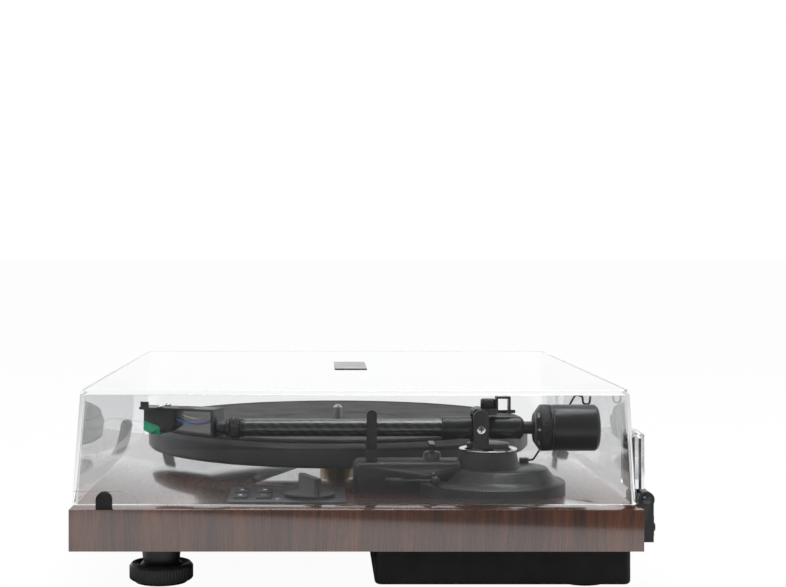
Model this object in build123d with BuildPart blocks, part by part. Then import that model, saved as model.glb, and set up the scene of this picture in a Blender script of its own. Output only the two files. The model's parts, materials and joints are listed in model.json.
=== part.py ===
"""A belt-drive record player whose loudspeakers and amplifier sit in a low box under its plinth.

X runs from left to right, Y from front to rear and Z up, in millimetres. The origin is on the floor, at the
centre of the outline that the plinth and its hinges cover. The arm lies in its rest and the cover is closed.
"""
import os
from math import cos, radians, sin

from build123d import *

os.makedirs("parts", exist_ok=True)

# Clearances
run_gap = 0.05          # a shaft in its bore, per side
slip_gap = 0.3          # loose pieces beside each other
trim_gap = 0.2          # a button or plate in its opening

# Platter and the margins of the plinth around it
platter_r = 150.0
margin_left = 13.0
margin_front = 24.0
margin_rear = 42.0
arm_beside = 27.0       # platter's edge to the arm's upright axis
margin_right = 80.0     # the arm's upright axis to the plinth's right side
arm_from_rear = 91.0    # the arm's upright axis to the plinth's rear edge

# Plinth
plinth_w = margin_left + 2 * platter_r + arm_beside + margin_right
plinth_d = margin_front + 2 * platter_r + margin_rear
plinth_h = 26.5
stand_h = 27.0          # floor to the plinth's underside
skin_h = 9.0            # board over the pocket
side_wall = 25.0
pocket_ahead = 16.0     # pocket's front ahead of the panel
rear_wall = 18.0
cover_h = 2.5
cover_lip = 6.0

# Dust cover
cover_gap = 2.0         # deck to the cover's lower edge
cover_over_arm = 31.9   # arm's axis to the cover's outer top
cover_wall = 3.0
cover_inset_x = 6.0
cover_inset_front = 0.5
cover_inset_rear = 3.0
cover_draft_x = 4.5
cover_draft_front = 4.9
cover_draft_rear = 3.8
cover_corner = 4.0
badge_x = -15.0
badge_w = 75.0
badge_d = 24.5
badge_h = 0.6
bumper_t = 5.0
bumper_r = 5.0
bumper_from_front = 22.0

# Hinges of the dust cover
hinge_proud = 12.5
hinge_head_h = 1.2      # screw heads on the hinge brackets
hinge_back = 6.0        # plinth's rear face to the hinge pin
hinge_up = 3.0          # deck to the hinge pin
hinge_w = 30.0
hinge_x = plinth_w / 2 - 37.0
hinge_drop = 24.6
hinge_block = 10.7
knuckle_r = 5.3
knuckle_w = 12.0
pin_r = 1.5
leaf_t = 1.8
leaf_w = 22.0
leaf_up = 42.0

# Platter and its drive, heights over the deck
platter_low = 11.3
platter_high = 29.0
platter_web = 5.0
platter_rim = 12.0
platter_bevel = 3.7
mat_r = platter_r - 3.0
mat_h = 2.8
spindle_r = 3.6
spindle_top = 42.4
spindle_neck_r = 3.3
shaft_low_r = 4.0       # spindle's shaft in the bush
hub_r = 12.0
drive_r = 65.0
drive_low = 12.0
drive_high = 19.0
bush_r = 8.0
bush_flange_r = 14.0
bush_low = -14.0
bush_high = 9.5
ball_r = 2.0
pulley_r = 8.0
pulley_dx = -platter_r * 8 / 15
pulley_dy = platter_r * 7 / 15
motor_r = 18.0
motor_h = 14.0
motor_shaft_r = 1.5
belt_t = 0.8
belt_w = 5.0

# Arm base, heights over the deck
flange_r = 50.5
flange_h = 8.0
flange_back = 2.0       # flange's centre behind the upright axis
cone_r1 = 38.5
cone_r2 = 32.5
cone_h = 16.5
cone_back = 8.5
column_r1 = 21.5
column_r2 = 19.3
dish_r = 16.5
swing_shaft_r = 4.0

# Arm, along Y from its upright axis, heights over the deck
arm_h = 43.5
tilt_fore = 6.0         # level pivots ahead of the upright axis
tube_r = 6.0
tube_wall = 1.0
tube_rear = -32.0
tube_front = -167.0 * platter_r / 150.0
sleeve_r = 7.75
housing_rear = 24.0
shaft_r = 4.3
shaft_rear = 63.0
weight_r = 15.85
dial_front = 31.0
dial_cone = 35.0
dial_rear = 41.7
weight_rear = 75.0
weight_bore = 68.0
collar_rear = tube_front
collar_front = tube_front - 16.0
collar_r = 7.4
yoke_in = 9.6
yoke_t = 5.0
yoke_len = 10.4
yoke_low = arm_h - 13.3
yoke_high = arm_h + 13.5
bridge_low = arm_h + 9.5
cap_r = 5.15
cap_high = arm_h + 19.8
screw_r = 2.8
screw_tip_r = 1.4

# Headshell, turned inwards about the collar's front end
offset_angle = 20.0
head_w = 18.0
head_len = 58.0
head_t = 1.5
head_up = 13.0          # arm axis to the top of the headshell's plate
cartridge_front = 55.0
cartridge_len = 23.0
cartridge_w = 16.0
cartridge_low = -4.0
tip_front = 47.0
tip_low = -7.3

# Arm rest and cueing lift
rest_x1 = -14.0         # left side of the block, from the upright axis
rest_x2 = 11.0
rest_front = -92.6
rest_rear = -17.0
rest_h = 21.7
rest_bevel = 3.0
cradle_y = -80.0
cradle_w = 7.0
cradle_floor = arm_h - 7.9
cradle_lip = arm_h - 7.5
cradle_tall = arm_h + 13.0
lift_y = -38.5
lift_r = 6.0
lift_cup_h = 28.0
piston_r = 2.2
bar_top = arm_h - 10.5
lever_y = -38.4
lever_up = 11.3
lever_out = 30.0
lever_rod = 33.0

# Control panel, buttons and knob
panel_w = 65.0
panel_d = 78.0
panel_t = 1.0
panel_right = 26.0      # plinth's right side to the panel
panel_to_rest = 5.4     # the panel's rear edge to the arm's rest
button_w = 16.0
button_d = 10.0
button_top = 2.5
button_foot = -3.8
button_travel = 1.0
knob_r = 17.0
knob_disc = 3.0
grip_len = 33.0
grip_t = 5.0
grip_top = 15.0
grip_turn = 22.0
knob_shaft_r = 3.0

# Feet
foot_y = -128.0
foot_x = plinth_w / 2 - 40.0
foot_ring_r = 21.0
foot_ring_top = 14.0
foot_pad_h = 1.6
foot_pad_r = 17.0
neck_r1 = 12.0
neck_r2 = 13.5
stud_r = 3.0
stud_top = 40.0
rear_pad_r = 15.0

# Speaker and amplifier box under the plinth
box_side = 10.0         # inside the plinth's sides
box_front = 12.0
box_rear = 177.0
box_low = 3.6
box_wall = 3.0
box_round = 5.0
grille_t = 1.6
baffle_t = 3.0
woofer_x = plinth_w / 2 - 90.0
woofer_w = 72.0
driver_h = 16.0
woofer_deep = 7.0
magnet_r = 7.5
magnet_deep = 10.0
tweeter_x = plinth_w / 2 - 36.0
tweeter_r = 7.0
slot_w = 2.0
slot_step = 5.0
slot_field = 60.0

# Rear terminals on the box
terminal_w = 120.0
terminal_h = 17.0
terminal_t = 2.0
phono_pin_r = 1.65
phono_r = 4.15
phono_len = 9.0
phono_x = (-45.0, -31.0)
inlet_x = -5.0
inlet_r = 5.5
inlet_bore_r = 2.8
inlet_pin_r = 1.0
rocker_x = 35.0
rocker_w = 18.0
rocker_h = 11.0
rocker_pin_r = 1.5

# Places worked out from the sizes above
cover_top = arm_h + cover_over_arm
column_h = arm_h - 14.5
plinth_y = -hinge_proud / 2
deck_z = stand_h + plinth_h
platter_x = -plinth_w / 2 + margin_left + platter_r
platter_y = -plinth_d / 2 + margin_front + platter_r
arm_x = platter_x + platter_r + arm_beside
arm_y = plinth_d / 2 - arm_from_rear
pulley_x = platter_x + pulley_dx
pulley_y = platter_y + pulley_dy
panel_x = plinth_w / 2 - panel_right - panel_w / 2
panel_y = arm_y + rest_front - panel_to_rest - panel_d / 2
bumper_y = -plinth_d / 2 + bumper_from_front
knob_x = panel_x + 9.5
knob_y = panel_y + 15.0
box_w = plinth_w - 2 * box_side
box_mid = (stand_h + box_low) / 2
pocket_x = plinth_w / 2 - side_wall
pocket_y1 = panel_y - panel_d / 2 - pocket_ahead
pocket_y2 = plinth_d / 2 - rear_wall

# Planes through the plinth's centre: Y in a sketch on them counts from there
floor = Plane(origin=(0, plinth_y, 0))
deck = Plane(origin=(0, plinth_y, deck_z))
arm_side = Plane(origin=(arm_x, plinth_y + arm_y, deck_z + arm_h), x_dir=(0, 1, 0), z_dir=(1, 0, 0))
arm_axis = Axis((arm_x, plinth_y + arm_y, deck_z + arm_h), (0, 1, 0))
tilt_y = arm_y - tilt_fore
head_plane = Plane(
    origin=(arm_x, plinth_y + arm_y + collar_front, deck_z + arm_h),
    x_dir=(cos(radians(offset_angle)), -sin(radians(offset_angle)), 0),
    z_dir=(0, 0, 1),
)


def keep(piece, label):
    """Label a finished piece and write it under its own name."""
    piece.part.label = label
    export_step(piece.part, f"parts/{label}.step")


def facing(y, z):
    """Return an upright plane at a depth behind the plinth's centre and a height over the floor."""
    return Plane(origin=(0, plinth_y + y, z), x_dir=(1, 0, 0), z_dir=(0, -1, 0))


def slab(x1, x2, y1, y2, z1, z2, base=deck, mode=Mode.ADD):
    """Add a plain block between two corners, counted from the base plane."""
    with BuildSketch(base.offset(z1)) as outline:
        with Locations(((x1 + x2) / 2, (y1 + y2) / 2)):
            Rectangle(x2 - x1, y2 - y1)
    extrude(outline.sketch, amount=z2 - z1, mode=mode)


def post(x, y, r, z1, z2, base=deck, mode=Mode.ADD):
    """Add an upright cylinder at x, y, between two heights over the base plane."""
    with BuildSketch(base.offset(z1)) as outline:
        with Locations((x, y)):
            Circle(r)
    extrude(outline.sketch, amount=z2 - z1, mode=mode)


def turned(x, y, profile, mode=Mode.ADD):
    """Turn a profile of radius and height points about an upright axis at x, y on the deck."""
    side = Plane(origin=(x, plinth_y + y, deck_z), x_dir=(1, 0, 0), z_dir=(0, -1, 0))
    with BuildSketch(side) as outline:
        with BuildLine():
            Polyline(*profile, close=True)
        make_face()
    revolve(outline.sketch, axis=Axis((x, plinth_y + y, 0), (0, 0, 1)), mode=mode)


def turned_on_arm(profile, mode=Mode.ADD):
    """Turn a profile of length and radius points about the arm's own long axis."""
    with BuildSketch(arm_side) as outline:
        with BuildLine():
            Polyline(*profile, close=True)
        make_face()
    revolve(outline.sketch, axis=arm_axis, mode=mode)


def rod_along_x(x1, x2, y, z, r, mode=Mode.ADD):
    """Add a level cylinder along X at a place on the deck plane."""
    face = Plane(origin=(x1, plinth_y + y, deck_z + z), x_dir=(0, 1, 0), z_dir=(1, 0, 0))
    with BuildSketch(face) as outline:
        Circle(r)
    extrude(outline.sketch, amount=x2 - x1, mode=mode)


def rod_along_y(x, y1, y2, z, r, mode=Mode.ADD):
    """Add a level cylinder along Y at a place on the deck plane."""
    face = Plane(origin=(x, plinth_y + y1, deck_z + z), x_dir=(-1, 0, 0), z_dir=(0, 1, 0))
    with BuildSketch(face) as outline:
        Circle(r)
    extrude(outline.sketch, amount=y2 - y1, mode=mode)


# Plinth: a board box with a pocket from below and holes for what passes its deck
opening_w = panel_w - 10.0
opening_d = panel_d - 4.0
with BuildPart() as plinth:
    with BuildSketch(floor.offset(stand_h)):
        Rectangle(plinth_w, plinth_d)
    extrude(amount=plinth_h)
    slab(-pocket_x, pocket_x, pocket_y1, pocket_y2, stand_h, deck_z - skin_h, floor, Mode.SUBTRACT)
    slab(-pocket_x - cover_lip, pocket_x + cover_lip, pocket_y1 - cover_lip, pocket_y2 + cover_lip,
         stand_h, stand_h + cover_h, floor, Mode.SUBTRACT)
    post(platter_x, platter_y, bush_r, -skin_h, 0, deck, Mode.SUBTRACT)
    post(pulley_x, pulley_y, pulley_r + 2, -skin_h, 0, deck, Mode.SUBTRACT)
    post(arm_x, arm_y, cone_r2 / 2, -skin_h, 0, deck, Mode.SUBTRACT)
    with BuildSketch(deck.offset(-skin_h)):
        with Locations((panel_x, panel_y)):
            Rectangle(opening_w, opening_d)
    extrude(amount=skin_h, mode=Mode.SUBTRACT)
    for side in (-1, 1):
        post(side * foot_x, foot_y, stud_r + slip_gap, stand_h, stud_top + 1, floor, Mode.SUBTRACT)
keep(plinth, "plinth")

with BuildPart() as bottom_cover:
    slab(-pocket_x - cover_lip + slip_gap, pocket_x + cover_lip - slip_gap,
         pocket_y1 - cover_lip + slip_gap, pocket_y2 + cover_lip - slip_gap,
         stand_h, stand_h + cover_h, floor)
    with BuildSketch(floor.offset(stand_h)):
        for x in (-woofer_x, 0, woofer_x):
            with Locations((x, (box_front + box_rear) / 2)):
                SlotOverall(60, 20)
    extrude(amount=cover_h, mode=Mode.SUBTRACT)
keep(bottom_cover, "bottom_cover")

# Speaker box: a tray screwed up under the plinth, with a baffle behind its grille
baffle_y = box_front + grille_t
with BuildPart() as speaker_box:
    with BuildSketch(floor.offset(box_low)) as box_outline:
        with Locations((0, (box_front + box_rear) / 2)):
            RectangleRounded(box_w, box_rear - box_front, box_round)
    extrude(amount=stand_h - box_low)
    fillet(speaker_box.faces().sort_by(Axis.Z)[0].edges(), 2.5)
    slab(-box_w / 2 + box_wall, box_w / 2 - box_wall, baffle_y + baffle_t, box_rear - box_wall,
         box_low + box_wall, stand_h, floor, Mode.SUBTRACT)
    slab(-box_w / 2 + box_round, box_w / 2 - box_round, box_front, baffle_y,
         box_low + box_wall, stand_h, floor, Mode.SUBTRACT)
    with BuildSketch(facing(baffle_y, box_mid)) as driver_holes:
        for side in (-1, 1):
            with Locations((side * woofer_x, 0)):
                SlotOverall(woofer_w - 8, driver_h - 3)
            with Locations((side * tweeter_x, 0)):
                Circle(tweeter_r - 1.2)
    extrude(driver_holes.sketch, amount=-baffle_t, mode=Mode.SUBTRACT)
    rear_plane = Plane(origin=(0, plinth_y + box_rear, box_mid), x_dir=(-1, 0, 0), z_dir=(0, 1, 0))
    with BuildSketch(rear_plane) as terminal_hole:
        Rectangle(terminal_w, terminal_h)
    extrude(terminal_hole.sketch, amount=-box_wall, mode=Mode.SUBTRACT)
    for x in (-55, 55):
        for y in (70, 130):
            post(x, y, 3.5, box_low + box_wall - 0.5, box_low + box_wall + 3, floor)
keep(speaker_box, "speaker_box")

with BuildPart() as speaker_grille:
    slab(-box_w / 2 + box_round + trim_gap, box_w / 2 - box_round - trim_gap, box_front, baffle_y,
         box_low + box_wall, stand_h, floor)
    grille_plane = facing(box_front, box_mid + box_wall / 2)
    with BuildSketch(grille_plane) as slots:
        for side in (-1, 1):
            with GridLocations(slot_step, 1, int(2 * slot_field / slot_step) + 1, 1):
                with Locations((side * (woofer_x + 14), 0)):
                    Rectangle(slot_w, driver_h - 2)
    extrude(slots.sketch, amount=-grille_t, mode=Mode.SUBTRACT)
keep(speaker_grille, "speaker_grille")


def driver_blocks(y1, y2, grow, tweeters):
    """Add both oval or both round outlines of the drivers between two depths behind the baffle."""
    with BuildSketch(facing(y1, box_mid)) as outline:
        for side in (-1, 1):
            if tweeters:
                with Locations((side * tweeter_x, 0)):
                    Circle(tweeter_r + grow)
            else:
                with Locations((side * woofer_x, 0)):
                    SlotOverall(woofer_w + 2 * grow, driver_h + 2 * grow)
    extrude(outline.sketch, amount=-(y2 - y1))


driver_y = baffle_y + baffle_t
with BuildPart() as woofer_frames:
    driver_blocks(driver_y, driver_y + woofer_deep, 0, False)
    with BuildSketch(facing(driver_y, box_mid)) as mouths:
        for side in (-1, 1):
            with Locations((side * woofer_x, 0)):
                SlotOverall(woofer_w - 4, driver_h - 4)
    extrude(mouths.sketch, amount=-(woofer_deep - 1.5), mode=Mode.SUBTRACT)
    for side in (-1, 1):
        rod_along_y(side * woofer_x, driver_y + woofer_deep, driver_y + woofer_deep + magnet_deep,
                    box_mid - deck_z, magnet_r)
keep(woofer_frames, "woofer_frames")

with BuildPart() as woofer_cones:
    cone_front = facing(driver_y + 1, box_mid)
    for side in (-1, 1):
        with BuildSketch(cone_front) as wide_end:
            with Locations((side * woofer_x, 0)):
                SlotOverall(woofer_w - 5, driver_h - 5)
        with BuildSketch(cone_front.offset(-(woofer_deep - 2.5))) as narrow_end:
            with Locations((side * woofer_x, 0)):
                SlotOverall(woofer_w / 2, driver_h - 9)
        loft([wide_end.sketch.face(), narrow_end.sketch.face()])
keep(woofer_cones, "woofer_cones")

with BuildPart() as tweeters:
    driver_blocks(driver_y, driver_y + 6, 0, True)
    for side in (-1, 1):
        rod_along_y(side * tweeter_x, driver_y - baffle_t + 1, driver_y, box_mid - deck_z, tweeter_r - 2)
keep(tweeters, "tweeters")

# Amplifier board on its four posts in the box
board_z = box_low + box_wall + 3
with BuildPart() as amplifier:
    slab(-65, 65, 60, 140, board_z, board_z + 1.6, floor)
    slab(-50, -20, 75, 90, board_z + 1.6, board_z + 13, floor)
    slab(10, 34, 84, 108, board_z + 1.6, board_z + 5, floor)
    for x in (-48, -34, -20, 48):
        post(x, 120, 5, board_z + 1.6, board_z + 14, floor)
keep(amplifier, "amplifier")

# Rear terminals: a plate in the box's rear wall
with BuildPart() as terminal_plate:
    with BuildSketch(rear_plane) as plate_outline:
        Rectangle(terminal_w - 2 * trim_gap, terminal_h - 2 * trim_gap)
        with Locations((-rocker_x, 0)):
            Rectangle(rocker_w + 2 * slip_gap, rocker_h + 4 * slip_gap, mode=Mode.SUBTRACT)
        with Locations((-inlet_x, 0)):
            Circle(inlet_r + run_gap, mode=Mode.SUBTRACT)
        for x in phono_x:
            with Locations((-x, 0)):
                Circle(phono_r - 0.6 + run_gap, mode=Mode.SUBTRACT)
    extrude(plate_outline.sketch, amount=-terminal_t)
keep(terminal_plate, "terminal_plate")

with BuildPart() as phono_sockets:
    for x in phono_x:
        rod_along_y(x, box_rear, box_rear + phono_len, box_mid - deck_z, phono_r)
        rod_along_y(x, box_rear - terminal_t - 6, box_rear, box_mid - deck_z, phono_r - 0.6)
        rod_along_y(x, box_rear - 1, box_rear + phono_len, box_mid - deck_z, phono_pin_r, Mode.SUBTRACT)
keep(phono_sockets, "phono_sockets")

with BuildPart() as power_inlet:
    rod_along_y(inlet_x, box_rear - 12, box_rear + 1.5, box_mid - deck_z, inlet_r)
    rod_along_y(inlet_x, box_rear - 9, box_rear + 1.5, box_mid - deck_z, inlet_bore_r, Mode.SUBTRACT)
    rod_along_y(inlet_x, box_rear - 9, box_rear, box_mid - deck_z, inlet_pin_r)
    with BuildSketch(rear_plane.offset(-terminal_t)) as case_outline:
        with Locations((-rocker_x, 0)):
            Rectangle(rocker_w + 6, rocker_h + 4)
    extrude(case_outline.sketch, amount=-9)
    with BuildSketch(rear_plane.offset(-terminal_t)) as case_mouth:
        with Locations((-rocker_x, 0)):
            Rectangle(rocker_w + 2 * slip_gap, rocker_h + 2 * slip_gap)
    extrude(case_mouth.sketch, amount=-6, mode=Mode.SUBTRACT)
keep(power_inlet, "power_inlet")

rocker_y = box_rear - 2.0
with BuildPart() as power_rocker:
    rocker_side = Plane(origin=(rocker_x - rocker_w / 2, plinth_y + rocker_y, box_mid), x_dir=(0, 1, 0),
                        z_dir=(1, 0, 0))
    half = rocker_h / 2 - 0.3
    with BuildSketch(rocker_side) as rocker_profile:
        with BuildLine():
            Polyline((-3, -2.5), (-3, 2.5), (1.6, half), (4.6, half), (3.4, 0), (2.8, -half), (1.0, -half),
                     close=True)
        make_face()
    extrude(rocker_profile.sketch, amount=rocker_w)
    rod_along_x(rocker_x - rocker_w / 2 - trim_gap, rocker_x + rocker_w / 2 + trim_gap, rocker_y,
                box_mid - deck_z, rocker_pin_r)
keep(power_rocker, "power_rocker")

# Feet: two that screw up and down at the front, and low pads under the box
neck_low = foot_ring_top + run_gap - deck_z
with BuildPart() as foot_necks:
    for side in (-1, 1):
        turned(side * foot_x, foot_y,
               [(stud_r + run_gap, neck_low), (neck_r1, neck_low), (neck_r2, stand_h - deck_z),
                (stud_r + run_gap, stand_h - deck_z)])
keep(foot_necks, "foot_necks")

for label, side in (("left", -1), ("right", 1)):
    with BuildPart() as foot_ring:
        turned(side * foot_x, foot_y,
               [(0, foot_pad_h - deck_z), (foot_ring_r - 1.5, foot_pad_h - deck_z),
                (foot_ring_r, foot_pad_h + 1.5 - deck_z), (foot_ring_r, foot_ring_top - 3 - deck_z),
                (foot_ring_r - 1.5, foot_ring_top - 1.2 - deck_z),
                (neck_r1 + 2, foot_ring_top - 2.4 - deck_z),
                (neck_r1, foot_ring_top - deck_z), (stud_r, foot_ring_top - deck_z),
                (stud_r, stud_top - deck_z), (0, stud_top - deck_z)])
        post(side * foot_x, foot_y, foot_pad_r, 0, foot_pad_h, floor)
    keep(foot_ring, f"foot_ring_{label}")

with BuildPart() as rear_pads:
    for x in (-foot_x, foot_x):
        post(x, box_rear - 27, rear_pad_r, 0, box_low, floor)
keep(rear_pads, "rear_pads")

# Platter, mat and the drive below them
with BuildPart() as platter:
    inner_r = platter_r - platter_rim
    turned(platter_x, platter_y,
           [(hub_r / 2, platter_high - platter_web), (inner_r, platter_high - platter_web),
            (inner_r, platter_low), (platter_r - 2, platter_low), (platter_r, platter_low + 2),
            (platter_r, platter_high - platter_bevel), (platter_r - platter_bevel * 0.7, platter_high),
            (hub_r / 2, platter_high)])
keep(platter, "platter")

with BuildPart() as platter_mat:
    turned(platter_x, platter_y,
           [(spindle_r + 0.4, platter_high), (mat_r, platter_high), (mat_r, platter_high + mat_h - 0.5),
            (mat_r - 0.5, platter_high + mat_h), (spindle_r + 0.4, platter_high + mat_h)])
keep(platter_mat, "platter_mat")

web_low = platter_high - platter_web
shaft_low = bush_low + 2 + 2 * ball_r
with BuildPart() as sub_platter:
    turned(platter_x, platter_y,
           [(0, shaft_low + run_gap), (shaft_low_r, shaft_low + run_gap), (shaft_low_r, bush_high + 0.5),
            (hub_r, bush_high + 0.5), (hub_r, drive_high), (drive_r - 5, drive_high),
            (drive_r - 5, drive_low),
            (drive_r, drive_low), (drive_r, web_low), (hub_r / 2 - run_gap, web_low),
            (hub_r / 2 - run_gap, platter_high - 0.5), (spindle_neck_r, platter_high - 0.5),
            (spindle_neck_r, platter_high + mat_h + 0.2), (spindle_r, platter_high + mat_h + 0.2),
            (spindle_r, spindle_top - 2), (spindle_r - 2, spindle_top), (0, spindle_top)])
keep(sub_platter, "sub_platter")

with BuildPart() as bearing_bush:
    turned(platter_x, platter_y,
           [(0, bush_low), (bush_r - 1.5, bush_low), (bush_r, bush_low + 1.5), (bush_r, 0),
            (bush_flange_r, 0), (bush_flange_r, 2.5), (bush_r, 3.5), (bush_r, bush_high),
            (shaft_low_r + run_gap, bush_high), (shaft_low_r + run_gap, bush_low + 2), (0, bush_low + 2)])
    with Locations((platter_x, plinth_y + platter_y, deck_z + bush_low + 2 + ball_r)):
        Sphere(ball_r)
keep(bearing_bush, "bearing_bush")

with BuildPart() as motor:
    post(pulley_x, pulley_y, motor_r, -skin_h - motor_h, -skin_h)
    post(pulley_x, pulley_y, 5, -skin_h, -skin_h + 3)
    post(pulley_x, pulley_y, motor_shaft_r + run_gap, -skin_h - 8, -skin_h + 3, deck, Mode.SUBTRACT)
keep(motor, "motor")

with BuildPart() as motor_pulley:
    turned(pulley_x, pulley_y,
           [(0, -skin_h - 7.5), (motor_shaft_r, -skin_h - 7.5), (motor_shaft_r, drive_low - 2),
            (pulley_r - 3, drive_low - 2), (pulley_r + 1, drive_low), (pulley_r, drive_low + 0.8),
            (pulley_r, drive_high - 0.8), (pulley_r + 1, drive_high), (0, drive_high)])
keep(motor_pulley, "motor_pulley")

with BuildPart() as drive_belt:
    belt_low = (drive_low + drive_high - belt_w) / 2
    with BuildSketch(deck.offset(belt_low)) as belt_outline:
        for grow, mode in ((belt_t, Mode.ADD), (0, Mode.SUBTRACT)):
            with BuildSketch(deck.offset(belt_low), mode=Mode.PRIVATE) as loop:
                with Locations((platter_x, platter_y)):
                    Circle(drive_r + run_gap + grow)
                with Locations((pulley_x, pulley_y)):
                    Circle(pulley_r + run_gap + grow)
                make_hull()
            add(loop.sketch_local, mode=mode)
    extrude(belt_outline.sketch, amount=belt_w)
keep(drive_belt, "drive_belt")

# Arm base with its cone, column and bright rim
with BuildPart() as arm_base:
    post(arm_x, arm_y + flange_back, flange_r, 0, flange_h)
    chamfer(arm_base.faces().sort_by(Axis.Z)[-1].edges(), 0.8)
    turned(arm_x, arm_y + cone_back,
           [(0, flange_h - 0.5), (cone_r1, flange_h - 0.5), (cone_r1, flange_h), (cone_r2, cone_h - 0.8),
            (cone_r2 - 0.8, cone_h), (0, cone_h)])
    post(arm_x, arm_y, swing_shaft_r + run_gap, 0, cone_h, deck, Mode.SUBTRACT)
keep(arm_base, "arm_base")

with BuildPart() as arm_column:
    bore_r = swing_shaft_r + run_gap
    turned(arm_x, arm_y,
           [(bore_r, cone_h), (column_r1, cone_h), (column_r2, column_h - 0.6), (column_r2, column_h),
            (dish_r + 0.6, column_h), (dish_r - 1, column_h - 1.6), (bore_r, column_h - 1.6)])
keep(arm_column, "arm_column")

with BuildPart() as column_rim:
    turned(arm_x, arm_y,
           [(dish_r - 0.6, column_h), (column_r2 + 0.6, column_h), (column_r2 + 0.6, column_h + 0.4),
            (column_r2, column_h + 0.8), (dish_r, column_h + 0.3)])
keep(column_rim, "column_rim")

# Arm rest: a block beside the base, with a post that cradles the arm
with BuildPart() as rest_block:
    block_x1 = arm_x + rest_x1
    block_x2 = arm_x + rest_x2
    with BuildSketch(deck) as block_outline:
        with Locations(((block_x1 + block_x2) / 2, arm_y + (rest_front + rest_rear) / 2)):
            RectangleRounded(block_x2 - block_x1, rest_rear - rest_front, 4)
    extrude(block_outline.sketch, amount=rest_h)
    chamfer(rest_block.faces().sort_by(Axis.Z)[-1].edges(), rest_bevel)
    post(arm_x, arm_y + flange_back, flange_r + run_gap, 0, flange_h + run_gap, deck, Mode.SUBTRACT)
    turned(arm_x, arm_y + cone_back,
           [(0, 0), (cone_r1 + run_gap, 0), (cone_r1 + run_gap, flange_h),
            (cone_r2 + run_gap, cone_h + run_gap), (0, cone_h + run_gap)], Mode.SUBTRACT)
    post(arm_x, arm_y, column_r1 + 0.2, 0, rest_h + 1, deck, Mode.SUBTRACT)
    post(arm_x, arm_y + lift_y, piston_r + run_gap, flange_h, rest_h, deck, Mode.SUBTRACT)
    turned(arm_x, arm_y + lift_y,
           [(piston_r + run_gap, rest_h), (lift_r, rest_h), (lift_r, lift_cup_h - 2),
            (lift_r - 1, lift_cup_h - 1), (piston_r + run_gap, lift_cup_h)])
    rod_along_x(arm_x + rest_x2, arm_x + rest_x2 + 6, arm_y + lever_y, lever_up, 3.2)
    rod_along_x(arm_x + rest_x2, arm_x + rest_x2 + 6, arm_y + lever_y, lever_up, 1.5 + run_gap, Mode.SUBTRACT)
keep(rest_block, "rest_block")

with BuildPart() as rest_post:
    post_x = arm_x + tube_r + slip_gap
    y1 = arm_y + cradle_y - cradle_w / 2
    y2 = arm_y + cradle_y + cradle_w / 2
    slab(arm_x - tube_r - 1.5, post_x + 3, y1, y2, rest_h, cradle_floor)
    slab(arm_x - tube_r - 1.5, arm_x - tube_r + 1, y1, y2, cradle_floor, cradle_lip)
    slab(post_x, post_x + 3, y1, y2, cradle_floor, cradle_tall - 3)
    rod_along_x(post_x, post_x + 3, arm_y + cradle_y, cradle_tall - cradle_w / 2, cradle_w / 2)
keep(rest_post, "rest_post")

with BuildPart() as cue_lift:
    post(arm_x, arm_y + lift_y, piston_r, flange_h + 1, bar_top - 2)
    slab(arm_x - 13, arm_x + 8, arm_y + lift_y - 2, arm_y + lift_y + 2, bar_top - 2, bar_top)
    fillet(cue_lift.edges().filter_by(Axis.Z).group_by(Axis.X)[0], 1.5)
keep(cue_lift, "cue_lift")

lever_x2 = arm_x + lever_out
with BuildPart() as cue_lever:
    rod_along_x(arm_x + rest_x2 + 0.2, lever_x2, arm_y + lever_y, lever_up, 1.5)
    with Locations((lever_x2, plinth_y + arm_y + lever_y, deck_z + lever_up)):
        Sphere(3.3)
    rod_along_y(lever_x2, arm_y + lever_y - lever_rod + 10, arm_y + lever_y, lever_up, 1.0)
    rod_along_y(lever_x2, arm_y + lever_y - lever_rod, arm_y + lever_y - lever_rod + 12, lever_up, 2.1)
keep(cue_lever, "cue_lever")

# Yoke that swings on the column
with BuildPart() as gimbal_yoke:
    post(arm_x, arm_y, swing_shaft_r, 4, yoke_low)
    post(arm_x, arm_y, yoke_in + yoke_t, yoke_low, yoke_low + 3)
    for side in (-1, 1):
        near = arm_x + side * yoke_in
        far = arm_x + side * (yoke_in + yoke_t)
        slab(min(near, far), max(near, far), tilt_y - yoke_len / 2, tilt_y + yoke_len / 2,
             yoke_low, yoke_high)
    slab(arm_x - yoke_in, arm_x + yoke_in, tilt_y - yoke_len / 2, arm_y + cap_r, bridge_low, yoke_high)
    fillet(gimbal_yoke.faces().sort_by(Axis.Z)[-1].edges().filter_by(Axis.X), 1.5)
    rod_along_x(arm_x - yoke_in - yoke_t, arm_x + yoke_in + yoke_t, tilt_y, arm_h, screw_r + run_gap,
                Mode.SUBTRACT)
keep(gimbal_yoke, "gimbal_yoke")

with BuildPart() as bearing_cap:
    post(arm_x, arm_y, cap_r, yoke_high, cap_high)
    chamfer(bearing_cap.faces().sort_by(Axis.Z)[-1].edges(), 0.7)
keep(bearing_cap, "bearing_cap")

with BuildPart() as pivot_screws:
    for side in (-1, 1):
        outer = arm_x + side * (yoke_in + yoke_t + 0.4)
        middle = arm_x + side * (yoke_in - 0.6)
        inner = arm_x + side * (sleeve_r - 2.4)
        rod_along_x(min(outer, middle), max(outer, middle), tilt_y, arm_h, screw_r)
        rod_along_x(min(inner, middle), max(inner, middle), tilt_y, arm_h, screw_tip_r)
keep(pivot_screws, "pivot_screws")

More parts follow.
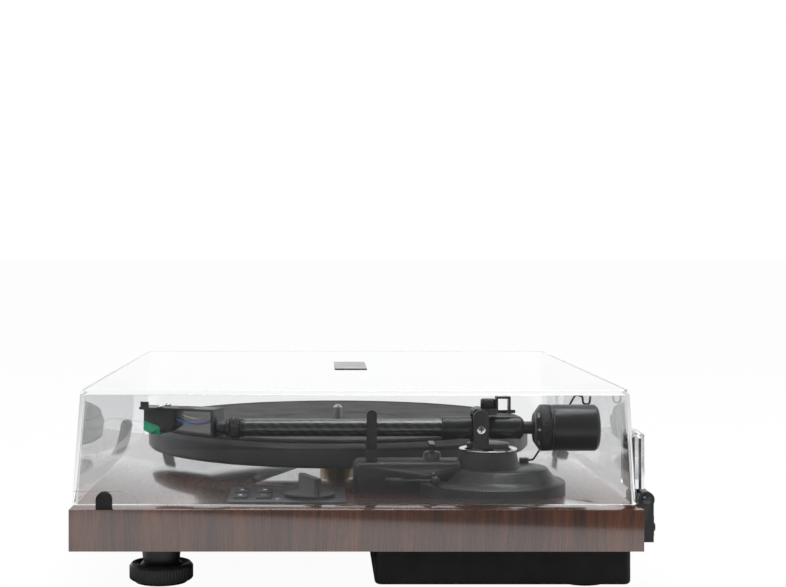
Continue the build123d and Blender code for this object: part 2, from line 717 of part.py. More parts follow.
with BuildPart() as skate_rod:
    rod_y = arm_y + cap_r
    slab(arm_x - 4, arm_x + 4, rod_y, rod_y + 1.4, bridge_low + 1, yoke_high + 8)
    slab(arm_x - 4, arm_x + 4, rod_y + 1.4, rod_y + 10, yoke_high + 6.6, yoke_high + 8)
    slab(arm_x - 4, arm_x + 4, rod_y + 8.6, rod_y + 10, bridge_low + 0.4, yoke_high + 6.6)
    rod_along_y(arm_x, rod_y, rod_y + 13.5, bridge_low + 1.6, 1.0)
    for step in range(3):
        notch_y = rod_y + 10.6 + step
        rod_along_y(arm_x, notch_y, notch_y + 0.4, bridge_low + 1.6, 1.3)
keep(skate_rod, "skate_rod")

# Arm tube and what rides on it
with BuildPart() as arm_tube:
    turned_on_arm([(tube_front, tube_r - tube_wall), (tube_front, tube_r), (tube_rear, tube_r),
                   (tube_rear, tube_r - tube_wall)])
keep(arm_tube, "arm_tube")

with BuildPart() as arm_housing:
    turned_on_arm([(tube_rear, 0), (tube_rear, sleeve_r - 0.6), (tube_rear + 0.6, sleeve_r),
                   (housing_rear - 2, sleeve_r), (housing_rear, sleeve_r - 2), (housing_rear, 0)])
    rod_along_x(arm_x - sleeve_r, arm_x + sleeve_r, tilt_y, arm_h, screw_tip_r + run_gap, Mode.SUBTRACT)
    turned_on_arm([(housing_rear, 0), (housing_rear, shaft_r), (shaft_rear, shaft_r), (shaft_rear, 0)])
keep(arm_housing, "arm_housing")

bore = shaft_r + run_gap
with BuildPart() as dial_ring:
    turned_on_arm([(dial_front, bore), (dial_front, weight_r - 6), (dial_cone, weight_r - 0.5),
                   (dial_cone + 0.5, weight_r), (dial_rear, weight_r), (dial_rear, bore)])
keep(dial_ring, "dial_ring")

with BuildPart() as counterweight:
    turned_on_arm([(dial_rear + trim_gap, bore), (dial_rear + trim_gap, weight_r),
                   (weight_rear - 2, weight_r), (weight_rear, weight_r - 2), (weight_rear, 0),
                   (weight_bore, 0), (weight_bore, bore)])
keep(counterweight, "counterweight")

ring_front = collar_front + 6
ring_rear = collar_front + 13
with BuildPart() as collar:
    turned_on_arm([(collar_front + 3.5, 0), (collar_front + 3.5, tube_r + 0.4), (collar_rear, tube_r + 0.4),
                   (collar_rear, 0)])
    turned_on_arm([(ring_front, tube_r - 2), (ring_front, tube_r + 2), (ring_rear, tube_r + 2),
                   (ring_rear, tube_r - 2)], Mode.SUBTRACT)
keep(collar, "collar")

with BuildPart() as collar_ring:
    turned_on_arm([(ring_front + run_gap, tube_r - 2 + run_gap), (ring_front + run_gap, collar_r),
                   (ring_rear - run_gap, collar_r), (ring_rear - run_gap, tube_r - 2 + run_gap)])
keep(collar_ring, "collar_ring")

# Headshell and cartridge, on a plane turned to the offset angle
with BuildPart() as headshell:
    slab(-head_w / 2, head_w / 2, -head_len, -2, head_up - head_t, head_up, head_plane)
    with BuildSketch(head_plane.offset(head_up - head_t)) as windows:
        for u in (-5, 5):
            with Locations((u, -24)):
                SlotOverall(12, 3, rotation=90)
    extrude(windows.sketch, amount=head_t, mode=Mode.SUBTRACT)
    slab(-head_w / 2, head_w / 2, -4, -2, -6, head_up - head_t, head_plane)
    neck_face = Plane(origin=head_plane.origin, x_dir=(-1, 0, 0), z_dir=(0, 1, 0))
    with BuildSketch(neck_face.offset(-3)) as neck_outline:
        Circle(tube_r - 1)
    extrude(neck_outline.sketch, amount=3 + 3.5)
    slab(head_w / 2, head_w / 2 + 2, -head_len + 2, -head_len + 14, head_up - head_t, head_up, head_plane)
    slab(head_w / 2 + 1, head_w / 2 + 2, -head_len + 2, -head_len + 8, head_up, head_up + 4, head_plane)
keep(headshell, "headshell")

with BuildPart() as cartridge:
    c1 = -cartridge_front
    c2 = c1 + cartridge_len
    head_side = Plane(origin=head_plane.origin, x_dir=head_plane.y_dir, z_dir=head_plane.x_dir)
    with BuildSketch(head_side.offset(-cartridge_w / 2)) as cartridge_profile:
        with BuildLine():
            Polyline((c1, head_up - head_t), (c2, head_up - head_t), (c2, cartridge_low + 4),
                     (c2 - 6, cartridge_low), (c1 + 12, cartridge_low), (c1 + 12, cartridge_low + 4),
                     (c1, cartridge_low + 8), close=True)
        make_face()
    extrude(cartridge_profile.sketch, amount=cartridge_w)
keep(cartridge, "cartridge")

with BuildPart() as stylus:
    with BuildSketch(head_side.offset(-cartridge_w / 2 + 2)) as stylus_profile:
        with BuildLine():
            Polyline((c1 - 1, cartridge_low + 8), (c1, cartridge_low + 8), (c1 + 12, cartridge_low + 4),
                     (c1 + 12, cartridge_low - 1.6), (c1 + 4, cartridge_low - 1.6),
                     (c1 - 1, cartridge_low + 1),
                     close=True)
        make_face()
    extrude(stylus_profile.sketch, amount=cartridge_w - 4)
    root_low = cartridge_low - 1.6
    with BuildSketch(head_side.offset(-0.5)) as stylus_line:
        with BuildLine():
            Polyline((c1 + 5, root_low), (c1 + 7, root_low), (-tip_front + 0.6, tip_low + 0.8),
                     (-tip_front, tip_low), (-tip_front - 0.4, tip_low + 0.8), (c1 + 5, root_low - 0.5),
                     close=True)
        make_face()
    extrude(stylus_line.sketch, amount=1)
keep(stylus, "stylus")

with BuildPart() as cartridge_screws:
    for u in (-6.35, 6.35):
        with BuildSketch(head_plane.offset(head_up)) as screw_outline:
            with Locations((u, -tip_front + 4)):
                Circle(2.1)
        extrude(screw_outline.sketch, amount=1.5)
keep(cartridge_screws, "cartridge_screws")

wire_r = 0.45
with BuildPart() as lead_wires:
    for step in range(4):
        u = -4.5 + 3 * step
        z = 7.2 - 2 * (step % 2)
        drop = 2.5 + 1.2 * (step % 3)
        wire_path = ThreePointArc(
            head_plane.from_local_coords((u, c2 + slip_gap, z)),
            head_plane.from_local_coords((u, (c2 - 4) / 2, z - drop)),
            head_plane.from_local_coords((u, -4 - slip_gap, z)),
        )
        with BuildSketch(Plane(origin=wire_path @ 0, z_dir=wire_path % 0)) as wire_face:
            Circle(wire_r)
        sweep(wire_face.sketch, path=wire_path)
keep(lead_wires, "lead_wires")

# Anti-skate support: a small foot on the cone and a bent wire
skate_x = arm_x - 22.5
skate_y = arm_y + 27.5
skate_bend = 1.9
skate_wire_r = 0.7
with BuildPart() as skate_support:
    post(skate_x, skate_y, 3.3, cone_h, cone_h + 3.4)
    points = [(skate_y + 2.8, cone_h + 1.7), (skate_y + 6.5, cone_h + 2.2), (skate_y + 32, 57),
              (skate_y + 36, 64), (skate_y + 41, 63), (skate_y + 41.5, 57.5), (skate_y + 46, 57.5),
              (skate_y + 46.5, 63)]
    with BuildLine() as wire_route:
        FilletPolyline(*[(skate_x, plinth_y + y, deck_z + z) for y, z in points], radius=skate_bend)
    wire_line = wire_route.wires()[0]
    with BuildSketch(Plane(origin=wire_line @ 0, z_dir=wire_line % 0)) as wire_section:
        Circle(skate_wire_r)
    sweep(wire_section.sketch, path=wire_line)
keep(skate_support, "skate_support")

# Control panel with its board, buttons and knob
button_x = (panel_x - 11.5, panel_x + 11.5)
button_y = (panel_y - 31.0, panel_y - 15.5)
with BuildPart() as control_panel:
    with BuildSketch(deck) as panel_outline:
        with Locations((panel_x, panel_y)):
            RectangleRounded(panel_w, panel_d, 3)
    extrude(panel_outline.sketch, amount=panel_t)
    slab(panel_x - opening_w / 2 + slip_gap, panel_x + opening_w / 2 - slip_gap,
         panel_y - opening_d / 2 + slip_gap, panel_y + opening_d / 2 - slip_gap, -2, 0)
    with BuildSketch(deck.offset(-2)) as button_holes:
        for x in button_x:
            for y in button_y:
                with Locations((x, y)):
                    Rectangle(button_w + 2 * trim_gap, button_d + 2 * trim_gap)
        with Locations((knob_x, knob_y)):
            Circle(knob_shaft_r + slip_gap)
    extrude(button_holes.sketch, amount=2 + panel_t, mode=Mode.SUBTRACT)
keep(control_panel, "control_panel")

board_top = -skin_h
with BuildPart() as control_board:
    slab(panel_x - opening_w / 2 - 3, panel_x + opening_w / 2 + 3, panel_y - opening_d / 2 - 3,
         panel_y + opening_d / 2 + 3, board_top - 1.6, board_top)
    for x in button_x:
        for y in button_y:
            slab(x - 3, x + 3, y - 3, y + 3, board_top, button_foot - button_travel - 0.2)
    post(knob_x, knob_y, 9, board_top, -2 - slip_gap)
    post(knob_x, knob_y, knob_shaft_r + run_gap, board_top + 1, -2 - slip_gap, deck, Mode.SUBTRACT)
keep(control_board, "control_board")

for column, x in enumerate(button_x):
    for row, y in enumerate(button_y):
        with BuildPart() as button:
            slab(x - button_w / 2, x + button_w / 2, y - button_d / 2, y + button_d / 2,
                 button_foot, button_top)
            fillet(button.edges().filter_by(Axis.Z), 1)
            chamfer(button.faces().sort_by(Axis.Z)[-1].edges(), 0.5)
            slab(x - button_w / 2 - 1, x + button_w / 2 + 1, y - button_d / 2, y + button_d / 2,
                 button_foot, -2 - slip_gap)
        keep(button, f"button_{2 * column + row + 1}")

with BuildPart() as selector_knob:
    knob_low = panel_t + slip_gap
    turned(knob_x, knob_y,
           [(0, board_top + 1.5), (knob_shaft_r, board_top + 1.5), (knob_shaft_r, knob_low),
            (knob_r, knob_low), (knob_r, knob_low + knob_disc - 0.8), (knob_r - 0.8, knob_low + knob_disc),
            (0, knob_low + knob_disc)])
    with BuildSketch(deck.offset(knob_low + knob_disc - 0.5)) as grip_outline:
        with Locations(Location((knob_x, knob_y), grip_turn)):
            SlotOverall(grip_len, grip_t)
    extrude(grip_outline.sketch, amount=grip_top - knob_low - knob_disc + 0.5)
    fillet(selector_knob.faces().sort_by(Axis.Z)[-1].edges(), 0.8)
keep(selector_knob, "selector_knob")

# Dust cover: a drafted clear shell with sockets for the hinge leaves
leaf_y = plinth_d / 2 + 1.4
socket_y2 = leaf_y + leaf_t + 1.9
socket_w = leaf_w + 8
socket_low = 10.0
socket_high = 46.0


def cover_outline(h, inset):
    """Return the size and centre of the cover's outline at a height over the deck."""
    share = (h - cover_gap) / (cover_top - cover_gap)
    half_x = plinth_w / 2 - cover_inset_x - share * cover_draft_x - inset
    front = -plinth_d / 2 + cover_inset_front + share * cover_draft_front + inset
    rear = plinth_d / 2 - cover_inset_rear - share * cover_draft_rear - inset
    return half_x, front, rear


def cover_section(h, inset, corner):
    """Draw the cover's rounded outline at a height, on its own plane."""
    half_x, front, rear = cover_outline(h, inset)
    with BuildSketch(deck.offset(h)) as section:
        with Locations((0, (front + rear) / 2)):
            RectangleRounded(2 * half_x, rear - front, corner)
    return section.sketch.face()


with BuildPart() as lid:
    loft([cover_section(cover_gap, 0, cover_corner), cover_section(cover_top, 0, cover_corner)])
    fillet(lid.faces().sort_by(Axis.Z)[-1].edges(), 1.5)
    for side in (-1, 1):
        slab(side * hinge_x - socket_w / 2, side * hinge_x + socket_w / 2, plinth_d / 2 - 8, socket_y2,
             socket_low, socket_high)
    inner_corner = cover_corner - cover_wall
    loft([cover_section(cover_gap, cover_wall, inner_corner),
          cover_section(cover_top - cover_wall, cover_wall, inner_corner)], mode=Mode.SUBTRACT)
    for side in (-1, 1):
        slab(side * hinge_x - leaf_w / 2 - trim_gap, side * hinge_x + leaf_w / 2 + trim_gap, leaf_y - 0.1,
             leaf_y + leaf_t + 0.1, socket_low, leaf_up + 0.5, deck, Mode.SUBTRACT)
keep(lid, "lid")

with BuildPart() as lid_bumpers:
    for side in (-1, 1):
        side_x = side * (plinth_w / 2 - cover_inset_x)
        outer_x = side_x + side * bumper_t
        low_x = min(side_x, outer_x)
        slab(low_x, low_x + bumper_t, bumper_y - bumper_r, bumper_y + bumper_r, 0, bumper_r + 1)
        rod_along_x(low_x, low_x + bumper_t, bumper_y, bumper_r + 1, bumper_r)
keep(lid_bumpers, "lid_bumpers")

with BuildPart() as lid_badge:
    with BuildSketch(deck.offset(cover_top)) as badge_outline:
        with Locations((badge_x, 0)):
            RectangleRounded(badge_w, badge_d, 2)
    extrude(badge_outline.sketch, amount=badge_h)
keep(lid_badge, "lid_badge")

hinge_y = plinth_d / 2 + hinge_back
with BuildPart() as hinge_leaves:
    for side in (-1, 1):
        x = side * hinge_x
        rod_along_x(x - knuckle_w / 2, x + knuckle_w / 2, hinge_y, hinge_up, knuckle_r - 0.5)
        slab(x - knuckle_w / 2, x + knuckle_w / 2, leaf_y, hinge_y, hinge_up, hinge_up + 4)
        slab(x - knuckle_w / 2, x + knuckle_w / 2, leaf_y, leaf_y + leaf_t, hinge_up, socket_low)
        slab(x - leaf_w / 2, x + leaf_w / 2, leaf_y, leaf_y + leaf_t, socket_low - 0.3, leaf_up)
        rod_along_x(x - knuckle_w / 2, x + knuckle_w / 2, hinge_y, hinge_up, pin_r + run_gap, Mode.SUBTRACT)
keep(hinge_leaves, "hinge_leaves")

with BuildPart() as hinge_brackets:
    for side in (-1, 1):
        x = side * hinge_x
        slab(x - hinge_w / 2, x + hinge_w / 2, plinth_d / 2, plinth_d / 2 + hinge_block,
             -hinge_drop, hinge_up)
        rod_along_x(x - hinge_w / 2, x + hinge_w / 2, hinge_y, hinge_up, knuckle_r)
        slab(x - hinge_w / 2 + 2, x + hinge_w / 2 - 2, plinth_d / 2 + hinge_block,
             plinth_d / 2 + hinge_proud - hinge_head_h, -hinge_drop + 4, -8)
        slab(x - hinge_w / 2, x + hinge_w / 2, plinth_d / 2, plinth_d / 2 + 0.7, 0, hinge_up + knuckle_r + 1,
             deck, Mode.SUBTRACT)
        slab(x - knuckle_w / 2 - slip_gap, x + knuckle_w / 2 + slip_gap, plinth_d / 2,
             plinth_d / 2 + hinge_proud + 1, hinge_up - knuckle_r - 1, hinge_up + knuckle_r + 2,
             deck, Mode.SUBTRACT)
        rod_along_x(x - hinge_w / 2, x + hinge_w / 2, hinge_y, hinge_up, pin_r + 0.02, Mode.SUBTRACT)
keep(hinge_brackets, "hinge_brackets")

with BuildPart() as hinge_pins:
    for side in (-1, 1):
        x = side * hinge_x
        rod_along_x(x - hinge_w / 2, x + hinge_w / 2, hinge_y, hinge_up, pin_r)
        rod_along_x(x + hinge_w / 2, x + hinge_w / 2 + 1.2, hinge_y, hinge_up, pin_r * 2)
        rod_along_x(x - hinge_w / 2 - 1.2, x - hinge_w / 2, hinge_y, hinge_up, pin_r * 2)
    for side in (-1, 1):
        for dx in (-9, 9):
            x = side * hinge_x + dx
            rod_along_y(x, plinth_d / 2 + hinge_proud - hinge_head_h, plinth_d / 2 + hinge_proud,
                        -hinge_drop + 9, 2.6)
keep(hinge_pins, "hinge_pins")

print("deck height", deck_z, "plinth centre Y", plinth_y)
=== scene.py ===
import json
from math import cos, pi, radians, sin, tau

import bmesh
import bpy
import numpy as np
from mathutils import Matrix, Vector


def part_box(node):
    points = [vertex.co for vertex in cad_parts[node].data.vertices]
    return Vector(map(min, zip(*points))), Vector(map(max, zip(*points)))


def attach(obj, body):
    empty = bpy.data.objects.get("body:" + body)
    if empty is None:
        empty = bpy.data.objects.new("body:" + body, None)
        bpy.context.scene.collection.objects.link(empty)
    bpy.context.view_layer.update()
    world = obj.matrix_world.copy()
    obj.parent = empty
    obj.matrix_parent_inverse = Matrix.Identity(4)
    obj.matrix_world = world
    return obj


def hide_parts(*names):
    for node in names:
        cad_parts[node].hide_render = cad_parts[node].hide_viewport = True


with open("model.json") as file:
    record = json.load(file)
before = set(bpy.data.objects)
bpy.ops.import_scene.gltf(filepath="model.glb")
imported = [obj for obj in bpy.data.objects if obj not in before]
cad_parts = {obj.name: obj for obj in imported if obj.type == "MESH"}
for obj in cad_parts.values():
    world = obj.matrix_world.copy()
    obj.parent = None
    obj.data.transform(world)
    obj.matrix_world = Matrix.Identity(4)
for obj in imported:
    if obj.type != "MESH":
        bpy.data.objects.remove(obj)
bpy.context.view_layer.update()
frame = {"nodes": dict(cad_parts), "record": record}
nodes = frame["nodes"]
body_of = {node: body for body, members in frame["record"]["behaviour"]["bodies"].items() for node in members}
slot_of = {entry["node"]: entry["material_slot"] for entry in frame["record"]["subparts"]}
mm = 0.001

# %% [markdown]
# Most places below are counted from the plinth's deck, so its height and its centre are measured first.
# The arm's own axis is the middle of its tube.
# %% Measure the deck and the arm
plinth_low, plinth_high = (np.array(corner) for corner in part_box("plinth"))
deck = plinth_high[2]
centre_y = (plinth_low[1] + plinth_high[1]) / 2
tube_low, tube_high = (np.array(corner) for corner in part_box("arm_tube"))
arm_x = (tube_low[0] + tube_high[0]) / 2
arm_z = (tube_low[2] + tube_high[2]) / 2
print("deck", round(deck, 4), "arm axis", round(arm_x, 4), round(arm_z, 4))


def middle(node):
    """The centre of a node's box, as an array."""
    low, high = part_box(node)
    return (np.array(low) + np.array(high)) / 2


def on_deck(x, y, z):
    """A point given in millimetres from the deck's centre, as an array in metres."""
    return np.array([x * mm, centre_y + y * mm, deck + z * mm])


# %% [markdown]
# A surface worked out on a grid needs faces between its rows and columns. A round piece is a profile of
# radius and height carried round an axis, so one helper makes the faces and another carries the profile.
# Corners of a profile are eased with a short curve, because a real edge always has a small radius that
# catches the light.
# %% Helpers for grids and turned pieces
def grid_faces(rows, columns, close_rows=False, close_columns=False):
    """Four-sided faces between neighbouring rows and columns; a closed direction joins last to first."""
    row = np.arange(rows if close_rows else rows - 1)
    column = np.arange(columns if close_columns else columns - 1)
    row, column = (part.ravel() for part in np.meshgrid(row, column, indexing="ij"))
    next_row, next_column = (row + 1) % rows, (column + 1) % columns
    return np.stack([row * columns + column, row * columns + next_column,
                     next_row * columns + next_column, next_row * columns + column], 1)


def eased(profile, reach, steps=3):
    """Cut each inner corner of a profile with a quadratic curve that starts and ends a short reach away."""
    points = np.array(profile, float)
    out = [points[:1]]
    share = np.linspace(0, 1, steps + 2)[:, None]
    for before, corner, after in zip(points[:-2], points[1:-1], points[2:]):
        to_before, to_after = before - corner, after - corner
        lengths = np.linalg.norm(to_before), np.linalg.norm(to_after)
        cut = min(reach, 0.45 * min(lengths))
        start, end = corner + to_before / lengths[0] * cut, corner + to_after / lengths[1] * cut
        out.append((1 - share) ** 2 * start + 2 * share * (1 - share) * corner + share ** 2 * end)
    out.append(points[-1:])
    return np.concatenate(out)


def put(name, points, faces, material, body, stands_for=(), smooth=30.0, slot=None):
    """Put points and faces into a mesh with clean outward normals, and let it ride on a body."""
    mesh = bpy.data.meshes.new(name)
    mesh.from_pydata(np.asarray(points).reshape(-1, 3).tolist(), [], [list(map(int, face)) for face in faces])
    work = bmesh.new()
    work.from_mesh(mesh)
    bmesh.ops.remove_doubles(work, verts=work.verts, dist=1e-7)
    bmesh.ops.dissolve_degenerate(work, edges=work.edges, dist=1e-8)
    bmesh.ops.recalc_face_normals(work, faces=work.faces)
    work.to_mesh(mesh)
    work.free()
    mesh.shade_smooth()
    mesh.set_sharp_from_angle(angle=radians(smooth))
    mesh.materials.append(material)
    piece = bpy.data.objects.new(name, mesh)
    bpy.context.scene.collection.objects.link(piece)
    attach(piece, body)
    if stands_for:
        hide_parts(*stands_for)
    return piece


def axes_for(direction):
    """Two directions square to a third one."""
    direction = np.array(direction, float)
    side = np.cross(direction, [0, 0, 1.0]) if abs(direction[2]) < 0.9 else np.array([1.0, 0, 0])
    side /= np.linalg.norm(side)
    return direction, side, np.cross(direction, side)


def turned_points(profile, centre, direction=(0, 0, 1), around=96, ripple=None):
    """Carry radius and height points round an axis; ripple adds to the radius by angle and row."""
    along, side, up = axes_for(direction)
    profile = np.array(profile, float)
    angle = np.linspace(0, tau, around, endpoint=False)
    radius = np.repeat(profile[:, :1], around, 1)
    if ripple is not None:
        radius = radius + ripple(angle[None, :], np.arange(len(profile))[:, None])
    ring = np.cos(angle)[None, :, None] * side + np.sin(angle)[None, :, None] * up
    return np.array(centre) + radius[:, :, None] * ring + profile[:, 1][:, None, None] * along


def turned(name, profile, centre, material, body, direction=(0, 0, 1), around=96, ripple=None, closed=False,
           **rest):
    """A turned piece from a profile; a closed profile makes a ring, an open one ends on the axis."""
    points = turned_points(profile, centre, direction, around, ripple)
    faces = grid_faces(len(profile), around, closed, True)
    return put(name, points, faces, material, body, **rest)


print("helpers ready")

# %% [markdown]
# A node's own mesh comes as loose triangles. For pieces with flat faces and a few holes it is enough to
# copy it, merge its points and add a narrow bevel, so that every edge catches a thin line of light.
# %% Copy a node with eased edges
def eased_copy(node, material, width=0.0):
    """A merged copy of a node with a bevel of a given width in millimetres, in the node's place."""
    name = node + "_skin"
    mesh = nodes[node].data.copy()
    mesh.name = name
    work = bmesh.new()
    work.from_mesh(mesh)
    bmesh.ops.remove_doubles(work, verts=work.verts, dist=2e-6)
    bmesh.ops.dissolve_degenerate(work, edges=work.edges, dist=1e-7)
    work.to_mesh(mesh)
    work.free()
    mesh.materials.clear()
    mesh.materials.append(material)
    mesh.shade_smooth()
    piece = bpy.data.objects.new(name, mesh)
    bpy.context.scene.collection.objects.link(piece)
    if width:
        bevel = piece.modifiers.new("edge", "BEVEL")
        bevel.width = width * mm
        bevel.segments = 2
        bevel.limit_method = "ANGLE"
        bevel.angle_limit = radians(35)
        bevel.harden_normals = True
    else:
        mesh.set_sharp_from_angle(angle=radians(30))
    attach(piece, body_of[node])
    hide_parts(node)
    return piece


print("copies keep the place of their nodes")

# %% [markdown]
# Finishes are node trees. A small helper adds a node, sets it and links its inputs in one call. Effects
# that many finishes share are node groups: a fine speckle, as on painted or moulded faces, and a soft
# smudge that moves the roughness up and down as handling does.
# %% Shared node groups
def add(tree, kind, inputs=None, **settings):
    """Add a node, set its properties, and give its inputs a value or a link."""
    made = tree.nodes.new(kind)
    for key, value in settings.items():
        setattr(made, key, value)
    for key, value in (inputs or {}).items():
        if isinstance(value, bpy.types.NodeSocket):
            tree.links.new(value, made.inputs[key])
        else:
            made.inputs[key].default_value = value
    return made


def group(name, inputs, outputs):
    """Start a node group with named inputs and outputs."""
    tree = bpy.data.node_groups.new(name, "ShaderNodeTree")
    for label, kind, value in inputs:
        socket = tree.interface.new_socket(label, in_out="INPUT", socket_type="NodeSocket" + kind)
        if value is not None:
            socket.default_value = value
    for label, kind in outputs:
        tree.interface.new_socket(label, in_out="OUTPUT", socket_type="NodeSocket" + kind)
    return tree, tree.nodes.new("NodeGroupInput").outputs, tree.nodes.new("NodeGroupOutput").inputs


speckle, source, result = group("fine_speckle", [("Vector", "Vector", None), ("Scale", "Float", 2000.0)],
                                [("Mask", "Float"), ("Height", "Float")])
noise = add(speckle, "ShaderNodeTexNoise", {"Vector": source["Vector"], "Scale": source["Scale"],
                                            "Detail": 3.0})
patch = add(speckle, "ShaderNodeTexNoise", {"Vector": source["Vector"], "Scale": 55.0, "Detail": 4.0})
blend = add(speckle, "ShaderNodeMath", {0: noise.outputs["Fac"], 1: patch.outputs["Fac"]},
            operation="MULTIPLY")
speckle.links.new(blend.outputs[0], result["Mask"])
speckle.links.new(noise.outputs["Fac"], result["Height"])

smudge, source, result = group("handling_smudge", [("Vector", "Vector", None), ("Low", "Float", 0.3),
                                                   ("High", "Float", 0.45)], [("Roughness", "Float")])
broad = add(smudge, "ShaderNodeTexNoise", {"Vector": source["Vector"], "Scale": 38.0, "Detail": 5.0,
                                           "Roughness": 0.62})
spread = add(smudge, "ShaderNodeMapRange", {"Value": broad.outputs["Fac"], "From Min": 0.35, "From Max": 0.68,
                                            "To Min": source["Low"], "To Max": source["High"]})
smudge.links.new(spread.outputs[0], result["Roughness"])
print("groups:", [tree.name for tree in bpy.data.node_groups])

# %% [markdown]
# One maker covers the plain finishes: moulded plastic, paint, rubber, cast or polished metal. It varies
# the colour a little with the speckle, takes its roughness from the smudge and gets a bump from the
# speckle's height.
# %% Plain finishes
def finish(name, colour, low, high, metallic=0.0, grain=1800.0, bump=0.15, vary=0.35, coat=0.0, specular=0.5):
    """A finish of one colour with speckle, smudges and a fine bump."""
    material = bpy.data.materials.new(name)
    material.use_nodes = True
    tree = material.node_tree
    shader = tree.nodes["Principled BSDF"]
    place = add(tree, "ShaderNodeTexCoord").outputs["Object"]
    fine = add(tree, "ShaderNodeGroup", node_tree=speckle)
    fine.inputs["Scale"].default_value = grain
    tree.links.new(place, fine.inputs["Vector"])
    marks = add(tree, "ShaderNodeGroup", {}, node_tree=smudge)
    marks.inputs["Low"].default_value = low
    marks.inputs["High"].default_value = high
    tree.links.new(place, marks.inputs["Vector"])
    lighter = tuple(min(1.0, part * (1 + 2 * vary) + 0.004 * vary) for part in colour)
    darker = tuple(part * (1 - vary * 0.6) for part in colour)
    ramp = add(tree, "ShaderNodeMapRange", {"Value": fine.outputs["Mask"], "From Min": 0.12,
                                            "From Max": 0.42})
    tint = add(tree, "ShaderNodeMix", {"Factor": ramp.outputs[0]}, data_type="RGBA")
    tint.inputs[6].default_value = (*darker, 1)
    tint.inputs[7].default_value = (*lighter, 1)
    dent = add(tree, "ShaderNodeBump", {"Strength": bump, "Distance": 0.03 * mm,
                                        "Height": fine.outputs["Height"]})
    tree.links.new(tint.outputs[2], shader.inputs["Base Color"])
    tree.links.new(marks.outputs["Roughness"], shader.inputs["Roughness"])
    tree.links.new(dent.outputs["Normal"], shader.inputs["Normal"])
    shader.inputs["Metallic"].default_value = metallic
    shader.inputs["Coat Weight"].default_value = coat
    shader.inputs["Specular IOR Level"].default_value = specular
    return material


satin_black = finish("satin_black_metal", (0.011, 0.011, 0.012), 0.28, 0.4, grain=2600, bump=0.06,
                     specular=0.35)
cast_black = finish("cast_black_metal", (0.013, 0.013, 0.014), 0.34, 0.46, grain=1500, bump=0.12,
                    specular=0.35)
moulded_black = finish("moulded_black_plastic", (0.011, 0.011, 0.012), 0.36, 0.48, grain=1900, bump=0.12,
                       specular=0.35)
gloss_black = finish("gloss_black_plastic", (0.012, 0.012, 0.013), 0.12, 0.2, grain=900, bump=0.03)
panel_grey = finish("panel_dark_grey", (0.02, 0.02, 0.022), 0.3, 0.42, grain=2400, bump=0.06, specular=0.35)
box_black = finish("speaker_box_black", (0.004, 0.004, 0.0045), 0.45, 0.6, grain=1500, bump=0.15,
                   specular=0.15)
black_rubber = finish("black_rubber", (0.008, 0.008, 0.008), 0.55, 0.7, grain=1600, bump=0.12, specular=0.25)
platter_cast = finish("platter_dark_metal", (0.026, 0.026, 0.028), 0.34, 0.46, metallic=0.3, grain=2600,
                      bump=0.05, specular=0.35)
mat_felt = finish("mat_dark_rubber", (0.03, 0.029, 0.03), 0.6, 0.75, grain=1900, bump=0.2, vary=0.4,
                  specular=0.3)
polished = finish("polished_steel", (0.62, 0.62, 0.63), 0.12, 0.22, metallic=1.0, grain=900, bump=0.03,
                  vary=0.1)
brushed = finish("brushed_aluminium", (0.5, 0.5, 0.51), 0.25, 0.38, metallic=1.0, grain=1900, bump=0.12,
                 vary=0.15)
dark_steel = finish("dark_steel", (0.05, 0.05, 0.053), 0.25, 0.35, metallic=0.8, grain=1900, bump=0.08)
turned_brass = finish("turned_brass", (0.55, 0.38, 0.14), 0.22, 0.34, metallic=1.0, grain=1700, bump=0.08)
board_green = finish("circuit_board", (0.02, 0.09, 0.045), 0.35, 0.5, grain=700, bump=0.1)
cone_paper = finish("cone_paper", (0.025, 0.025, 0.025), 0.7, 0.85, grain=700, bump=0.6)
stylus_green = finish("stylus_green", (0.004, 0.24, 0.115), 0.22, 0.32, grain=1200, bump=0.06, vary=0.15)
white_ink = finish("white_ink", (0.72, 0.72, 0.72), 0.5, 0.6, grain=2500, bump=0.05, vary=0.08)
print(len(bpy.data.materials), "materials so far")

# %% [markdown]
# The plinth wears a reddish walnut veneer. Its figure is noise stretched along the grain: broad streaks,
# narrow streaks and short dark pores. On the deck and the two sides the grain runs from side to side and
# folds down over the edge; on the front and rear it runs level. The normal tells which face is which.
# %% Walnut veneer
walnut_grain, source, result = group("walnut_grain", [("Vector", "Vector", None), ("Normal", "Vector", None)],
                                     [("Color", "Color"), ("Roughness", "Float"), ("Height", "Float")])
split = add(walnut_grain, "ShaderNodeSeparateXYZ", {0: source["Vector"]}).outputs
facing = add(walnut_grain, "ShaderNodeSeparateXYZ", {0: source["Normal"]}).outputs
level = add(walnut_grain, "ShaderNodeMath", {0: facing["Y"]}, operation="ABSOLUTE")
is_front = add(walnut_grain, "ShaderNodeMath", {0: level.outputs[0], 1: 0.6}, operation="GREATER_THAN")
folded = add(walnut_grain, "ShaderNodeMath", {0: split["X"], 1: split["Z"]}, operation="ADD")
along = add(walnut_grain, "ShaderNodeMix", {"Factor": is_front.outputs[0]}, data_type="FLOAT")
walnut_grain.links.new(folded.outputs[0], along.inputs[2])
walnut_grain.links.new(split["X"], along.inputs[3])
across = add(walnut_grain, "ShaderNodeMix", {"Factor": is_front.outputs[0]}, data_type="FLOAT")
walnut_grain.links.new(split["Y"], across.inputs[2])
walnut_grain.links.new(split["Z"], across.inputs[3])
laid = add(walnut_grain, "ShaderNodeCombineXYZ", {"X": along.outputs[0], "Y": across.outputs[0]})
drift = add(walnut_grain, "ShaderNodeTexNoise", {"Vector": laid.outputs[0], "Scale": 9.0, "Detail": 2.0})
shift = add(walnut_grain, "ShaderNodeMath", {0: drift.outputs["Fac"], 1: 0.012}, operation="MULTIPLY")
waved = add(walnut_grain, "ShaderNodeMath", {0: across.outputs[0], 1: shift.outputs[0]}, operation="ADD")


